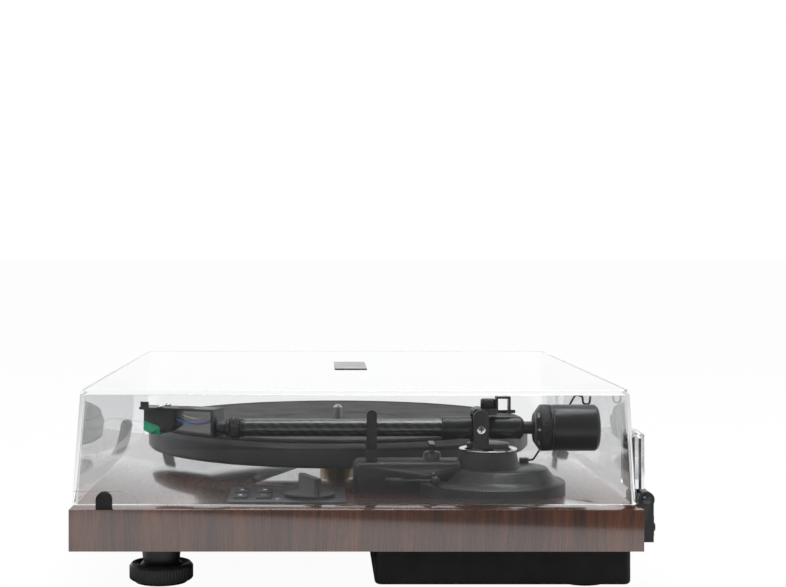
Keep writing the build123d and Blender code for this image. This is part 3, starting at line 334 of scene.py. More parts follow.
def streaks(along_scale, across_scale, detail, rough=0.6):
    """Noise stretched along the grain, by its scales in turns per metre."""
    far = add(walnut_grain, "ShaderNodeMath", {0: along.outputs[0], 1: along_scale}, operation="MULTIPLY")
    wide = add(walnut_grain, "ShaderNodeMath", {0: waved.outputs[0], 1: across_scale}, operation="MULTIPLY")
    spot = add(walnut_grain, "ShaderNodeCombineXYZ", {"X": far.outputs[0], "Y": wide.outputs[0]})
    return add(walnut_grain, "ShaderNodeTexNoise", {"Vector": spot.outputs[0], "Scale": 1.0, "Detail": detail,
                                                    "Roughness": rough}).outputs["Fac"]


broad, narrow, pores = streaks(3, 34, 3), streaks(6, 300, 5), streaks(40, 1400, 3, 0.7)
figure = add(walnut_grain, "ShaderNodeMix", {"Factor": 0.45}, data_type="FLOAT")
walnut_grain.links.new(broad, figure.inputs[2])
walnut_grain.links.new(narrow, figure.inputs[3])
wood = add(walnut_grain, "ShaderNodeValToRGB", {"Fac": figure.outputs[0]})
wood.color_ramp.elements[0].position = 0.3
wood.color_ramp.elements[0].color = (0.007, 0.003, 0.0018, 1)
wood.color_ramp.elements[1].position = 0.68
wood.color_ramp.elements[1].color = (0.125, 0.04, 0.014, 1)
for spot, colour in ((0.42, (0.036, 0.0105, 0.004, 1)), (0.52, (0.068, 0.02, 0.0075, 1))):
    wood.color_ramp.elements.new(spot).color = colour
pore_mask = add(walnut_grain, "ShaderNodeMapRange", {"Value": pores, "From Min": 0.34, "From Max": 0.52,
                                                     "To Min": 0.4, "To Max": 1.1})
darkened = add(walnut_grain, "ShaderNodeMix", {"Factor": 1.0}, data_type="RGBA", blend_type="MULTIPLY")
walnut_grain.links.new(wood.outputs["Color"], darkened.inputs[6])
walnut_grain.links.new(pore_mask.outputs[0], darkened.inputs[7])
walnut_grain.links.new(darkened.outputs[2], result["Color"])
gloss = add(walnut_grain, "ShaderNodeMapRange", {"Value": pores, "From Min": 0.3, "From Max": 0.6,
                                                 "To Min": 0.4, "To Max": 0.26})
walnut_grain.links.new(gloss.outputs[0], result["Roughness"])
walnut_grain.links.new(pore_mask.outputs[0], result["Height"])

walnut = bpy.data.materials.new("walnut_veneer")
walnut.use_nodes = True
tree = walnut.node_tree
shader = tree.nodes["Principled BSDF"]
veneer = add(tree, "ShaderNodeGroup", node_tree=walnut_grain)
tree.links.new(add(tree, "ShaderNodeTexCoord").outputs["Object"], veneer.inputs["Vector"])
tree.links.new(add(tree, "ShaderNodeNewGeometry").outputs["True Normal"], veneer.inputs["Normal"])
relief = add(tree, "ShaderNodeBump", {"Strength": 0.1, "Distance": 0.05 * mm,
                                      "Height": veneer.outputs["Height"]})
tree.links.new(veneer.outputs["Color"], shader.inputs["Base Color"])
tree.links.new(veneer.outputs["Roughness"], shader.inputs["Roughness"])
tree.links.new(relief.outputs["Normal"], shader.inputs["Normal"])
shader.inputs["Specular IOR Level"].default_value = 0.5
shader.inputs["Coat Weight"].default_value = 1.0
shader.inputs["Coat Roughness"].default_value = 0.1
shader.inputs["Coat IOR"].default_value = 1.75
print("walnut:", len(walnut_grain.nodes), "nodes in its grain")

# %% [markdown]
# Clear acrylic bends light like glass. Light on its way from a lamp, and light that has bounced off
# another piece, pass straight through instead, so the pieces under the cover stay lit. Faint wiping marks
# move its roughness.
# %% Clear acrylic
clear = bpy.data.materials.new("clear_acrylic")
clear.use_nodes = True
tree = clear.node_tree
shader = tree.nodes["Principled BSDF"]
shader.inputs["Base Color"].default_value = (0.985, 0.99, 0.992, 1)
shader.inputs["IOR"].default_value = 1.49
shader.inputs["Transmission Weight"].default_value = 1.0
wipes = add(tree, "ShaderNodeGroup", node_tree=smudge)
wipes.inputs["Low"].default_value = 0.0
wipes.inputs["High"].default_value = 0.03
tree.links.new(add(tree, "ShaderNodeTexCoord").outputs["Object"], wipes.inputs["Vector"])
tree.links.new(wipes.outputs["Roughness"], shader.inputs["Roughness"])
path = add(tree, "ShaderNodeLightPath").outputs
passing = add(tree, "ShaderNodeMath", {0: path["Is Shadow Ray"], 1: path["Is Diffuse Ray"]},
              operation="MAXIMUM")
mirrored = add(tree, "ShaderNodeMath", {0: path["Is Glossy Ray"], 1: path["Is Transmission Ray"]},
               operation="SUBTRACT")
passing = add(tree, "ShaderNodeMath", {0: passing.outputs[0], 1: mirrored.outputs[0]}, operation="MAXIMUM")
deep = add(tree, "ShaderNodeMath", {0: path["Transmission Depth"], 1: 5.0}, operation="GREATER_THAN")
passing = add(tree, "ShaderNodeMath", {0: passing.outputs[0], 1: deep.outputs[0]}, operation="MAXIMUM")
straight = add(tree, "ShaderNodeBsdfTransparent", {"Color": (0.96, 0.965, 0.97, 1)})
choice = add(tree, "ShaderNodeMixShader", {0: passing.outputs[0], 1: shader.outputs[0],
                                           2: straight.outputs[0]})
tree.links.new(choice.outputs[0], tree.nodes["Material Output"].inputs["Surface"])
print("acrylic bends light by", shader.inputs["IOR"].default_value)

# %% [markdown]
# The arm's tube is carbon fibre: two sets of flat threads cross at a right angle, each passing over two
# and under two, under a clear lacquer. A twill is a step pattern: where the sum of the two thread
# numbers, counted by fours, is below two the one set lies on top, and elsewhere the other. The threads on top
# are painted lighter towards their crests, which is a painted sheen.
# %% Carbon weave
weave, source, result = group("twill_weave", [("Vector", "Vector", None), ("Pitch", "Float", 700.0)],
                              [("Mask", "Float"), ("Height", "Float")])
threads = add(weave, "ShaderNodeVectorMath", {0: source["Vector"]}, operation="SCALE")
weave.links.new(source["Pitch"], threads.inputs["Scale"])
part = add(weave, "ShaderNodeSeparateXYZ", {0: threads.outputs[0]}).outputs
whole = [add(weave, "ShaderNodeMath", {0: part[axis]}, operation="FLOOR").outputs[0] for axis in "XY"]
total = add(weave, "ShaderNodeMath", {0: whole[0], 1: whole[1]}, operation="ADD")
fourth = add(weave, "ShaderNodeMath", {0: total.outputs[0], 1: 4.0}, operation="FLOORED_MODULO")
over = add(weave, "ShaderNodeMath", {0: fourth.outputs[0], 1: 1.5}, operation="LESS_THAN")
arches = []
for axis in "XY":
    cycle = add(weave, "ShaderNodeMath", {0: part[axis]}, operation="FRACT")
    turn = add(weave, "ShaderNodeMath", {0: cycle.outputs[0], 1: pi}, operation="MULTIPLY")
    arches.append(add(weave, "ShaderNodeMath", {0: turn.outputs[0]}, operation="SINE").outputs[0])
crown = add(weave, "ShaderNodeMix", {"Factor": over.outputs[0]}, data_type="FLOAT")
weave.links.new(arches[0], crown.inputs[2])
weave.links.new(arches[1], crown.inputs[3])
weave.links.new(over.outputs[0], result["Mask"])
weave.links.new(crown.outputs[0], result["Height"])

carbon = bpy.data.materials.new("carbon_fibre")
carbon.use_nodes = True
tree = carbon.node_tree
shader = tree.nodes["Principled BSDF"]
cloth = add(tree, "ShaderNodeGroup", node_tree=weave)
cloth.inputs["Pitch"].default_value = 1.0
tree.links.new(add(tree, "ShaderNodeUVMap", uv_map="weave").outputs["UV"], cloth.inputs["Vector"])
# Painted sheen: the threads on top are painted lighter along their crests, and the other set stays dark,
# where real carbon threads are all black and only the light makes them differ.
painted_crest_sheen = add(tree, "ShaderNodeMath", {0: cloth.outputs["Height"], 1: 0.6}, operation="MULTIPLY")
painted_sheen_level = add(tree, "ShaderNodeMath", {0: painted_crest_sheen.outputs[0], 1: cloth.outputs["Mask"]}, operation="MULTIPLY_ADD")
painted_sheen_level.inputs[2].default_value = 0.12
tone = add(tree, "ShaderNodeMix", {"Factor": painted_sheen_level.outputs[0]}, data_type="RGBA")
tone.inputs[6].default_value = (0.004, 0.004, 0.0045, 1)
tone.inputs[7].default_value = (0.04, 0.04, 0.043, 1)
bumps = add(tree, "ShaderNodeBump", {"Strength": 0.25, "Distance": 0.2 * mm,
                                     "Height": cloth.outputs["Height"]})
tree.links.new(tone.outputs[2], shader.inputs["Base Color"])
tree.links.new(bumps.outputs["Normal"], shader.inputs["Normal"])
shader.inputs["Roughness"].default_value = 0.3
shader.inputs["Coat Weight"].default_value = 0.7
shader.inputs["Coat Roughness"].default_value = 0.08
print("carbon ready")

# %% [markdown]
# The nodes that nobody studies closely keep their own mesh and only get their finish. Pieces with visible
# edges are copied with a narrow bevel, and curved ones with smooth shading.
# %% Dress the nodes
plain = {
    "bottom_cover": satin_black, "woofer_frames": satin_black, "tweeters": gloss_black,
    "amplifier": board_green, "bearing_bush": turned_brass, "motor": dark_steel,
    "motor_pulley": turned_brass, "drive_belt": black_rubber, "control_board": board_green,
    "sub_platter": brushed, "terminal_plate": satin_black, "cue_lift": satin_black,
}
for node, material in plain.items():
    nodes[node].data.materials.clear()
    nodes[node].data.materials.append(material)

edged = {
    "plinth": (walnut, 0.35), "speaker_box": (box_black, 0.0), "control_panel": (panel_grey, 0.25),
    "rest_block": (moulded_black, 0.0), "rest_post": (moulded_black, 0.3), "headshell": (satin_black, 0.2),
    "cartridge": (moulded_black, 0.3), "hinge_brackets": (satin_black, 0.0),
    "hinge_leaves": (satin_black, 0.0), "hinge_pins": (dark_steel, 0.0), "lid_bumpers": (black_rubber, 0.0),
    "skate_rod": (satin_black, 0.0), "arm_base": (cast_black, 0.0), "skate_support": (satin_black, 0.0),
    "cue_lever": (satin_black, 0.0), "phono_sockets": (polished, 0.0), "power_inlet": (moulded_black, 0.0),
    "power_rocker": (gloss_black, 0.3), "rear_pads": (black_rubber, 0.3), "foot_necks": (satin_black, 0.0),
    "speaker_grille": (satin_black, 0.0), "woofer_cones": (cone_paper, 0.0),
    "selector_knob": (moulded_black, 0.0), "lid_badge": (gloss_black, 0.15), "stylus": (stylus_green, 0.0),
    "cartridge_screws": (polished, 0.0), "column_rim": (polished, 0.0), "arm_column": (cast_black, 0.0),
    "bearing_cap": (satin_black, 0.0),
}
for node, (material, width) in edged.items():
    eased_copy(node, material, width)
for number in range(1, 5):
    eased_copy(f"button_{number}", moulded_black)
print(len(plain), "plain nodes,", len(edged) + 4, "eased copies")

# %% [markdown]
# The cover is a shell: a loop of points at each height, from the inner ceiling down the inner wall, round
# the lower edge and up the outer wall to the top. Each loop is a rectangle with rounded corners. Points
# close beside each bend keep the broad faces flat, so that they mirror and refract without waves. The
# clear sockets behind it, which take the hinge leaves, are shells of the same kind.
# %% Clear cover
def rounded_loop(x1, x2, y1, y2, corner, steps=6, beside=0.15):
    """Points round a rectangle with rounded corners, counter-clockwise, in millimetres."""
    points = []
    turns = np.linspace(0, pi / 2, steps + 1)
    for quarter, (x, y) in enumerate(((x2 - corner, y2 - corner), (x1 + corner, y2 - corner),
                                      (x1 + corner, y1 + corner), (x2 - corner, y1 + corner))):
        start = quarter * pi / 2
        arc = [(x + corner * cos(start + turn), y + corner * sin(start + turn)) for turn in turns]
        lead_in = (arc[0][0] + beside * sin(start), arc[0][1] - beside * cos(start))
        lead_out = (arc[-1][0] - beside * cos(start), arc[-1][1] - beside * sin(start))
        points += [lead_in] + arc + [lead_out]
    return points


def shell(name, rows, material, body, **rest):
    """A closed shell from loops of equal length, with a flat face over the first and the last."""
    count = len(rows[0][0])
    points = [on_deck(x, y, z) for loop, z in rows for x, y in loop]
    faces = grid_faces(len(rows), count, False, True).tolist()
    faces += [list(range(count))[::-1], list(range((len(rows) - 1) * count, len(rows) * count))]
    return put(name, points, faces, material, body, smooth=60, **rest)


cover_foot, cover_top = 2.0, 75.4
cover_side, cover_front, cover_rear = 204.0, -182.5, 180.0
lean_side, lean_front, lean_rear = 4.5, 4.9, 3.8
top_bend = 1.5
corner_r = 4.0


def side_at(height):
    """How far the cover's side walls stand from its middle at a height over the deck."""
    return cover_side - lean_side * (height - cover_foot) / (cover_top - cover_foot)


def cover_loop(height, inset, corner):
    """The cover's outline at a height over the deck, drawn in by an inset."""
    share = (height - cover_foot) / (cover_top - cover_foot)
    side = side_at(height) - inset
    front = cover_front + lean_front * share + inset
    rear = cover_rear - lean_rear * share - inset
    return rounded_loop(-side, side, front, rear, corner), height


inner_rows = [(72.4, 4.1, 1.0), (72.4, 4.0, 1.0), (72.1, 3.1, 1.0), (71.9, 3.0, 1.0), (71.6, 3.0, 1.0),
              (2.8, 3.0, 1.0), (2.5, 3.0, 1.0), (2.3, 2.95, 1.0)]
edge_rows = [(2.05, 2.7, 1.2), (cover_foot, 2.5, 1.4), (cover_foot, 0.5, 3.5), (2.05, 0.3, 3.7)]
outer_rows = [(2.3, 0.05, corner_r), (2.5, 0.0, corner_r), (2.8, 0.0, corner_r), (73.6, 0.0, corner_r),
              (73.9, 0.0, corner_r)]
for turn in np.linspace(0, pi / 2, 7)[1:]:
    drawn_in = top_bend * (1 - cos(turn))
    outer_rows.append((cover_top - top_bend + top_bend * sin(turn), drawn_in, corner_r - drawn_in))
outer_rows.append((cover_top, 1.7, 2.4))
cover_rows = [cover_loop(*row) for row in inner_rows + edge_rows + outer_rows]
shell("cover_clear", cover_rows, clear, body_of["lid"], stands_for=("lid",))


def socket_rows(x):
    """Loops of one hinge socket: the slot's ceiling, the slot, the lower edge, the sides and the top."""
    slot = (x - 11.2, x + 11.2, 184.3, 186.3)
    block = (x - 15.0, x + 15.0, 180.3, 188.1)

    def block_loop(gap, corner, height):
        """The block's outline drawn in by a gap, at a height."""
        sides = [side + sign * gap for side, sign in zip(block, (1, -1, 1, -1))]
        return rounded_loop(*sides, corner, 3, 0.1), height

    return [(rounded_loop(*slot, 0.3, 3, 0.1), 42.5), (rounded_loop(*slot, 0.3, 3, 0.1), 10.2),
            block_loop(0.35, 0.8, 10.0), block_loop(0.0, 1.2, 10.4), block_loop(0.0, 1.2, 45.0),
            block_loop(0.35, 1.0, 45.8), block_loop(1.0, 0.6, 46.0)]


for label, x in (("left", -173.0), ("right", 173.0)):
    shell(f"cover_socket_{label}", socket_rows(x), clear, body_of["lid"], slot=slot_of["lid"])
print("cover of", len(cover_rows), "loops")

# %% [markdown]
# The platter is a heavy casting, turned on a lathe, so its side, its bevel and its top all run round the
# spindle. The mat lies on it with a slightly raised rim.
# %% Platter and mat
platter_mid = middle("platter")
platter_low, platter_high = (np.array(corner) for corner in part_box("platter"))
platter_r = (platter_high[0] - platter_low[0]) / 2
side = platter_high[2] - platter_low[2]
rim = 12 * mm
bore = 6.2 * mm
plate = 5 * mm
profile = [(bore, side - plate), (platter_r - rim, side - plate), (platter_r - rim, 0),
           (platter_r - 2 * mm, 0), (platter_r, 2 * mm), (platter_r, side - 3.7 * mm),
           (platter_r - 2.6 * mm, side), (bore, side)]
turned("platter_turned", eased(profile, 0.8 * mm), (platter_mid[0], platter_mid[1], platter_low[2]),
       platter_cast, body_of["platter"], around=256, closed=True, stands_for=("platter",))
mat_low, mat_high = (np.array(corner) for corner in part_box("platter_mat"))
mat_r = (mat_high[0] - mat_low[0]) / 2
thick = mat_high[2] - mat_low[2]
mat_bore = 4 * mm
label_r = 52 * mm
profile = [(mat_bore, 0), (mat_r - 0.3 * mm, 0), (mat_r, 0.6 * mm), (mat_r, thick - 0.5 * mm),
           (mat_r - 0.6 * mm, thick), (mat_r - 5 * mm, thick), (mat_r - 5.6 * mm, thick - 0.5 * mm),
           (label_r, thick - 0.5 * mm), (label_r - 0.5 * mm, thick - 0.9 * mm), (mat_bore, thick - 0.9 * mm)]
turned("mat_turned", eased(profile, 0.25 * mm), (platter_mid[0], platter_mid[1], mat_low[2]), mat_felt,
       body_of["platter_mat"], around=256, closed=True, stands_for=("platter_mat",))
print("platter radius", round(platter_r, 4), "mat radius", round(mat_r, 4))

# %% [markdown]
# The straight arm tube gets the woven finish. Its map counts threads: along the arm one thread each 1.9
# mm, and round it a whole number of threads so that the pattern closes.
# %% Arm tube
def carbon_tube(name, node, radius, rows=60, around=48, pitch=1.9 * mm):
    """A tube along Y with a map that counts threads along and around it."""
    low, high = (np.array(corner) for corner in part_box(node))
    length = high[1] - low[1]
    profile = np.array([(radius, length * step / (rows - 1)) for step in range(rows)])
    points = turned_points(profile, (arm_x, low[1], arm_z), (0, 1, 0), around)
    piece = put(name, points, grid_faces(rows, around, False, True), carbon, body_of[node],
                stands_for=(node,))
    mesh = piece.data
    count = 4 * round(tau * radius / pitch / 4)
    place = np.empty(len(mesh.vertices) * 3)
    mesh.vertices.foreach_get("co", place)
    place = place.reshape(-1, 3)
    corner = np.empty(len(mesh.loops), int)
    mesh.loops.foreach_get("vertex_index", corner)
    turn = np.arctan2(place[:, 2] - arm_z, place[:, 0] - arm_x) / tau
    round_turn = turn[corner].reshape(-1, 4)
    round_turn = np.where(round_turn.max(1, keepdims=True) - round_turn > 0.5, round_turn + 1, round_turn)
    flat = np.stack([(place[corner, 1] - low[1]) / pitch, round_turn.ravel() * count], 1)
    mesh.uv_layers.new(name="weave").data.foreach_set("uv", flat.ravel())
    return piece


carbon_tube("arm_tube_woven", "arm_tube", (tube_high[0] - tube_low[0]) / 2)
print("arm tube", round(tube_high[1] - tube_low[1], 4), "m long")

# %% [markdown]
# Behind the tube come the bearing sleeve and the counterweight with its force dial. All of them are
# turned pieces on the arm's axis, written as radius and length in millimetres.
# %% Pieces on the arm's axis
def on_arm(name, node, profile, material, start_y, reach=0.3, around=96):
    """A turned piece on the arm's axis from a profile in millimetres, counted from a place along Y."""
    return turned(name, eased(profile, reach) * mm, (arm_x, start_y, arm_z), material, body_of[node],
                  (0, 1, 0), around, stands_for=(node,))


on_arm("arm_housing_turned", "arm_housing",
       [(0, 0), (7.1, 0), (7.75, 0.6), (7.75, 20.5), (7.2, 21), (7.2, 33), (7.75, 33.6), (7.75, 54),
        (5.8, 56), (4.3, 56), (4.3, 95), (0, 95)], satin_black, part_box("arm_housing")[0][1])
weight_low, weight_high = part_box("counterweight")
on_arm("counterweight_turned", "counterweight",
       [(4.35, 0), (15.85, 0), (15.85, 1.2), (15.55, 1.6), (15.55, 2.2), (15.85, 2.6), (15.85, 31),
        (14.2, 33.1), (0, 33.1), (0, 26.1), (4.35, 26.1)], satin_black, weight_low[1], reach=0.5, around=128)
dial_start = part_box("dial_ring")[0][1]
cone_r, cone_rise, cone_long = 9.85 * mm, 5.5 * mm, 4.0 * mm
dial_profile = np.array([(4.35, 0), (9.6, 0), (9.85, 0.1), (15.1, 3.9), (15.4, 4.2), (15.4, 4.6),
                         (15.7, 4.9), (15.7, 10.3), (15.4, 10.7), (4.35, 10.7)]) * mm


def finger_ribs(angle, row):
    """Ribs of 0.15 mm round the dial's straight side, only on its two rows."""
    return np.where((row == 6) | (row == 7), 0.15 * mm * np.cos(72 * angle), 0)


turned("force_dial_turned", dial_profile, (arm_x, dial_start, arm_z), satin_black, body_of["dial_ring"],
       (0, 1, 0), 432, finger_ribs, closed=True, stands_for=("dial_ring",), smooth=40)
print("counterweight ends at", round(weight_high[1], 4))

# %% [markdown]
# The dial's cone carries plain numbers of force from zero up. Flat letters are made into a mesh first,
# then bent onto the cone: the letter's width becomes an angle, and its height climbs the slope.
# %% Numbers and ticks on the force dial
def flat_text(words, size):
    """The points and faces of flat letters, centred, from Blender's own font."""
    curve = bpy.data.curves.new("letters", "FONT")
    curve.body = words
    curve.size = size
    curve.align_x = "CENTER"
    curve.align_y = "CENTER"
    letters = bpy.data.objects.new("letters", curve)
    bpy.context.scene.collection.objects.link(letters)
    bpy.context.view_layer.update()
    mesh = bpy.data.meshes.new_from_object(letters.evaluated_get(bpy.context.evaluated_depsgraph_get()))
    points = np.array([vertex.co[:2] for vertex in mesh.vertices])
    faces = [list(face.vertices) for face in mesh.polygons]
    bpy.data.objects.remove(letters)
    bpy.data.meshes.remove(mesh)
    return points, faces


def join_up(batches):
    """One list of points and one of faces from several batches."""
    points, faces, count = [], [], 0
    for some, corners in batches:
        points.append(some)
        faces += [[corner + count for corner in face] for face in corners]
        count += len(some)
    return np.concatenate(points), faces


def round_the_cone(flat, angle, start):
    """Bend flat points onto the dial's cone: their x becomes an angle and their y climbs the slope."""
    climb = 0.6
    proud = 0.05 * mm
    along = start + flat[:, 1] * climb
    radius = cone_r + along * cone_rise / cone_long + proud
    turn = angle + flat[:, 0] / radius
    return np.stack([arm_x + radius * np.cos(turn), dial_start + along, arm_z + radius * np.sin(turn)], 1)


marks = []
ticks, ticks_to_number = 40, 5
tick_half, letter_size = 0.14 * mm, 3.0 * mm
for step in range(ticks):
    angle = tau * step / ticks
    numbered = step % ticks_to_number == 0
    tall = (1.3 if numbered else 0.8) * mm
    bar = np.array([(-tick_half, 0), (tick_half, 0), (tick_half, tall), (-tick_half, tall)])
    marks.append((round_the_cone(bar, angle, 0.3 * mm), [[0, 1, 2, 3]]))
    if numbered:
        flat, faces = flat_text(f"{step // ticks_to_number * 0.5:g}", letter_size)
        marks.append((round_the_cone(flat, angle, 2.5 * mm), faces))
points, faces = join_up(marks)
put("force_dial_marks", points, faces, white_ink, body_of["dial_ring"], slot=slot_of["dial_ring"])
print(len(marks), "marks on the dial")

# %% [markdown]
# The locking collar at the arm's front has three parts, and the middle one is knurled for the fingers.
# The knurl is a sine round the ring that leans with the row, so its crests run in a slant.
# %% Collar with its knurled ring
collar_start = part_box("collar")[0][1]
on_arm("collar_turned", "collar",
       [(0, 0), (6.4, 0), (6.4, 2.2), (4.1, 2.6), (4.1, 9.4), (6.4, 9.8), (6.4, 12.5), (0, 12.5)],
       satin_black, collar_start, reach=0.25)
ring_low, ring_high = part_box("collar_ring")
rows = 14
straight_side = [(7.2, 0.5 + 5.9 * step / (rows - 1)) for step in range(rows)]
ring_profile = np.array([(4.1, 0), (6.7, 0)] + straight_side + [(6.7, 6.9), (4.1, 6.9)]) * mm


def knurl(angle, row):
    """Crests of 0.18 mm round the ring, only on the rows of its side, leaning by their row."""
    inside = (row > 2) & (row < rows + 1)
    return np.where(inside, 0.18 * mm * np.cos(36 * angle + 0.35 * row), 0)


turned("collar_ring_knurled", ring_profile, (arm_x, ring_low[1], arm_z), satin_black, body_of["collar_ring"],
       (0, 1, 0), 216, knurl, closed=True, stands_for=("collar_ring",), smooth=50)
print("collar ring", round(ring_high[1] - ring_low[1], 4), "m long")

# %% [markdown]
# The yoke's two arms have round shoulders, and a bridge over the tube joins them. A slab helper carries
# an outline along X, a little smaller at both ends, so that its long edges are eased.
# %% Yoke with round shoulders
def slab_along_x(name, outline, x1, x2, ease, material, body, **rest):
    """A slab from an outline of Y and Z points about their own middle, in metres, eased at both ends."""
    outline = np.array(outline)
    centre = (outline.min(0) + outline.max(0)) / 2
    reach = (outline.max(0) - outline.min(0)) / 2
    rows = [(x1 + ease * (1 - cos(turn)), ease * (1 - sin(turn))) for turn in np.linspace(0, pi / 2, 5)]
    rows += [(x2 - ease * (1 - cos(turn)), ease * (1 - sin(turn))) for turn in np.linspace(pi / 2, 0, 5)]
    points = []
    for x, inset in rows:
        scale = (reach - inset) / reach
        points += [(x, *(centre + (spot - centre) * scale)) for spot in outline]
    count = len(outline)
    faces = grid_faces(len(rows), count, False, True).tolist()
    faces += [list(range(count))[::-1], list(range((len(rows) - 1) * count, len(rows) * count))]
    return put(name, points, faces, material, body, **rest)


arm_y = middle("bearing_cap")[1]
pivot_y = middle("pivot_screws")[1]
yoke_top = arm_z + 13.5 * mm
yoke_foot = arm_z - 13.3 * mm
shoulder_r = 5.2 * mm
gap_half, yoke_half = 9.6 * mm, 14.6 * mm
arm_outline = [(pivot_y + shoulder_r * cos(turn), yoke_top - shoulder_r + shoulder_r * sin(turn))
               for turn in np.linspace(0, pi, 17)]
arm_outline += [(pivot_y - shoulder_r, yoke_foot), (pivot_y + shoulder_r, yoke_foot)]
bridge_low, bridge_front, bridge_rear = arm_z + 9.5 * mm, pivot_y - 5.0 * mm, arm_y + 5.1 * mm
bridge = [(bridge_front + 1.5 * mm, yoke_top), (bridge_front, yoke_top - 1.5 * mm),
          (bridge_front, bridge_low), (bridge_rear, bridge_low), (bridge_rear, yoke_top)]
yoke = dict(material=cast_black, body=body_of["gimbal_yoke"], slot=slot_of["gimbal_yoke"])
overlap = 0.1 * mm
made = []
for label, x1, x2 in (("left", -yoke_half, -gap_half), ("right", gap_half, yoke_half)):
    made.append(slab_along_x(f"yoke_arm_{label}", arm_outline, arm_x + x1, arm_x + x2, 0.8 * mm, **yoke))
made.append(slab_along_x("yoke_bridge", bridge, arm_x - gap_half - overlap, arm_x + gap_half + overlap,
                         0.1 * mm, **yoke))
base_profile = np.array([(0, 0), (14.6, 0), (14.6, 3), (0, 3)])
made.append(turned("yoke_base", eased(base_profile, 0.5) * mm, (arm_x, arm_y, yoke_foot), **yoke))
shaft_profile = np.array([(0, 0), (4, 0), (4, 26.2), (0, 26.2)])
made.append(turned("yoke_shaft", eased(shaft_profile, 0.3) * mm, (arm_x, arm_y, deck + 4 * mm), **yoke))
for piece in made:
    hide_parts("gimbal_yoke")
print(len(made), "pieces of the yoke")

# %% [markdown]
# The level pivots are screws with a cross for a screwdriver. A head is a polar grid whose rows run from
# the rim to the middle, and its height sinks wherever a point lies in one of the two crossed slots.
# %% Pivot screws with crossed slots
pivot_mid = middle("pivot_screws")


def crossed_head(name, x, outward, radius=2.8 * mm):
    """A shallow domed screw head with crossed slots, facing along X at the level pivots."""
    rows, around = 22, 96
    dome_height, slot_depth, stem_length = 0.35 * mm, 0.9 * mm, 4.5 * mm
    slot_half, slot_reach = 0.42 * mm, 1.9 * mm
    reach = np.linspace(1, 0, rows)[:, None] * radius
    angle = np.linspace(0, tau, around, endpoint=False)[None, :]
    across, up = reach * np.cos(angle), reach * np.sin(angle)
    dome = dome_height * (1 - (reach / radius) ** 2)
    off_cross = np.minimum(np.abs(across), np.abs(up))
    in_cross = np.clip((slot_half - off_cross) / (0.12 * mm), 0, 1)
    in_reach = np.clip((slot_reach - reach) / (0.2 * mm), 0, 1)
    height = np.broadcast_to(dome, across.shape) - slot_depth * in_cross * in_reach
    face = np.stack([x + outward * (height - dome_height), pivot_mid[1] + across, arm_z + up], 2)
    stem = face[:1] - np.array([outward * stem_length, 0, 0])
    points = np.concatenate([stem, face])
    return put(name, points, grid_faces(rows + 1, around, False, True), polished, body_of["pivot_screws"],
               slot=slot_of["pivot_screws"], smooth=25)


low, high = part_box("pivot_screws")
heads = [crossed_head("pivot_screw_left", low[0], -1), crossed_head("pivot_screw_right", high[0], 1)]
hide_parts("pivot_screws")
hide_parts("pivot_screws")
print("two crossed heads")

# %% [markdown]
# Four thin wires link the cartridge to the headshell's neck, each in its own colour. A wire is a ring of
# points carried along a curve: at each step the ring stands square to the curve.
# %% Coloured lead wires
def along_curve(name, path, radius, material, body, around=10, **rest):
    """A round wire along a path of points, closed at both ends."""
    path = np.array(path)
    ahead = np.gradient(path, axis=0)
    ahead /= np.linalg.norm(ahead, axis=1, keepdims=True)
    side = np.cross(ahead, [0, 0, 1.0])
    side /= np.linalg.norm(side, axis=1, keepdims=True)
    up = np.cross(side, ahead)
    angle = np.linspace(0, tau, around, endpoint=False)[None, :, None]
    rings = path[:, None] + radius * (np.cos(angle) * side[:, None] + np.sin(angle) * up[:, None])
    faces = grid_faces(len(path), around, False, True).tolist()
    faces += [list(range(around))[::-1], list(range((len(path) - 1) * around, len(path) * around))]
    return put(name, rings, faces, material, body, **rest)


lead_colours = {"white": (0.7, 0.7, 0.68), "red": (0.5, 0.02, 0.02), "green": (0.02, 0.3, 0.06),
                "blue": (0.03, 0.08, 0.45)}
turn = radians(20)
head_x = np.array([cos(turn), -sin(turn), 0])
head_y = np.array([sin(turn), cos(turn), 0])
head_centre = np.array([arm_x, collar_start - 3.5 * mm, arm_z])


def on_head(u, v, z):
    """A point by its places across, along and above the headshell's own axes, in millimetres."""
    return head_centre + (u * head_x + v * head_y) * mm + np.array([0, 0, z * mm])


lead_start, lead_long = -31.7, 27.4
for step, (label, colour) in enumerate(lead_colours.items()):
    u, z, drop = -4.5 + 3 * step, 7.2 - 2 * (step % 2), 2.5 + 1.2 * (step % 3)
    bow = 0.5 if step % 2 else -0.5
    path = []
    for share in np.linspace(0, 1, 25):
        sag = drop * 4 * share * (1 - share)
        path.append(on_head(u + bow * sin(share * pi), lead_start + lead_long * share, z - sag))
    tint = finish(f"lead_{label}", colour, 0.3, 0.4, grain=2500, bump=0.05, vary=0.1)
    along_curve(f"lead_wire_{label}", path, 0.45 * mm, tint, body_of["lead_wires"],
                             slot=slot_of["lead_wires"])
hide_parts("lead_wires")

# %% [markdown]
# A thin line is moulded on each side wall of the cover near its front corner. It runs level and then
# curves down to the cover's edge. It is drawn as an opaque grey wire, and the grey is painted edge light that
# stands for the light the step in the clear acrylic bends and mirrors.
# %% Lines moulded on the cover's walls
def wall_line(side):
    """The route of one line: level from the front corner, then a quarter turn down to the cover's edge."""
    level, low, bend = 11.0, 2.4, 13.0
    start, bend_start = -180.5, -152.5
    route = [(start + step, level) for step in np.linspace(0, bend_start - start, 12)]
    for turn in np.linspace(0, pi / 2, 9)[1:]:
        route.append((bend_start + bend * sin(turn), level - (level - low) * (1 - cos(turn))))
    proud = 0.03
    return [on_deck(side * (side_at(z) + proud), y, z) for y, z in route]


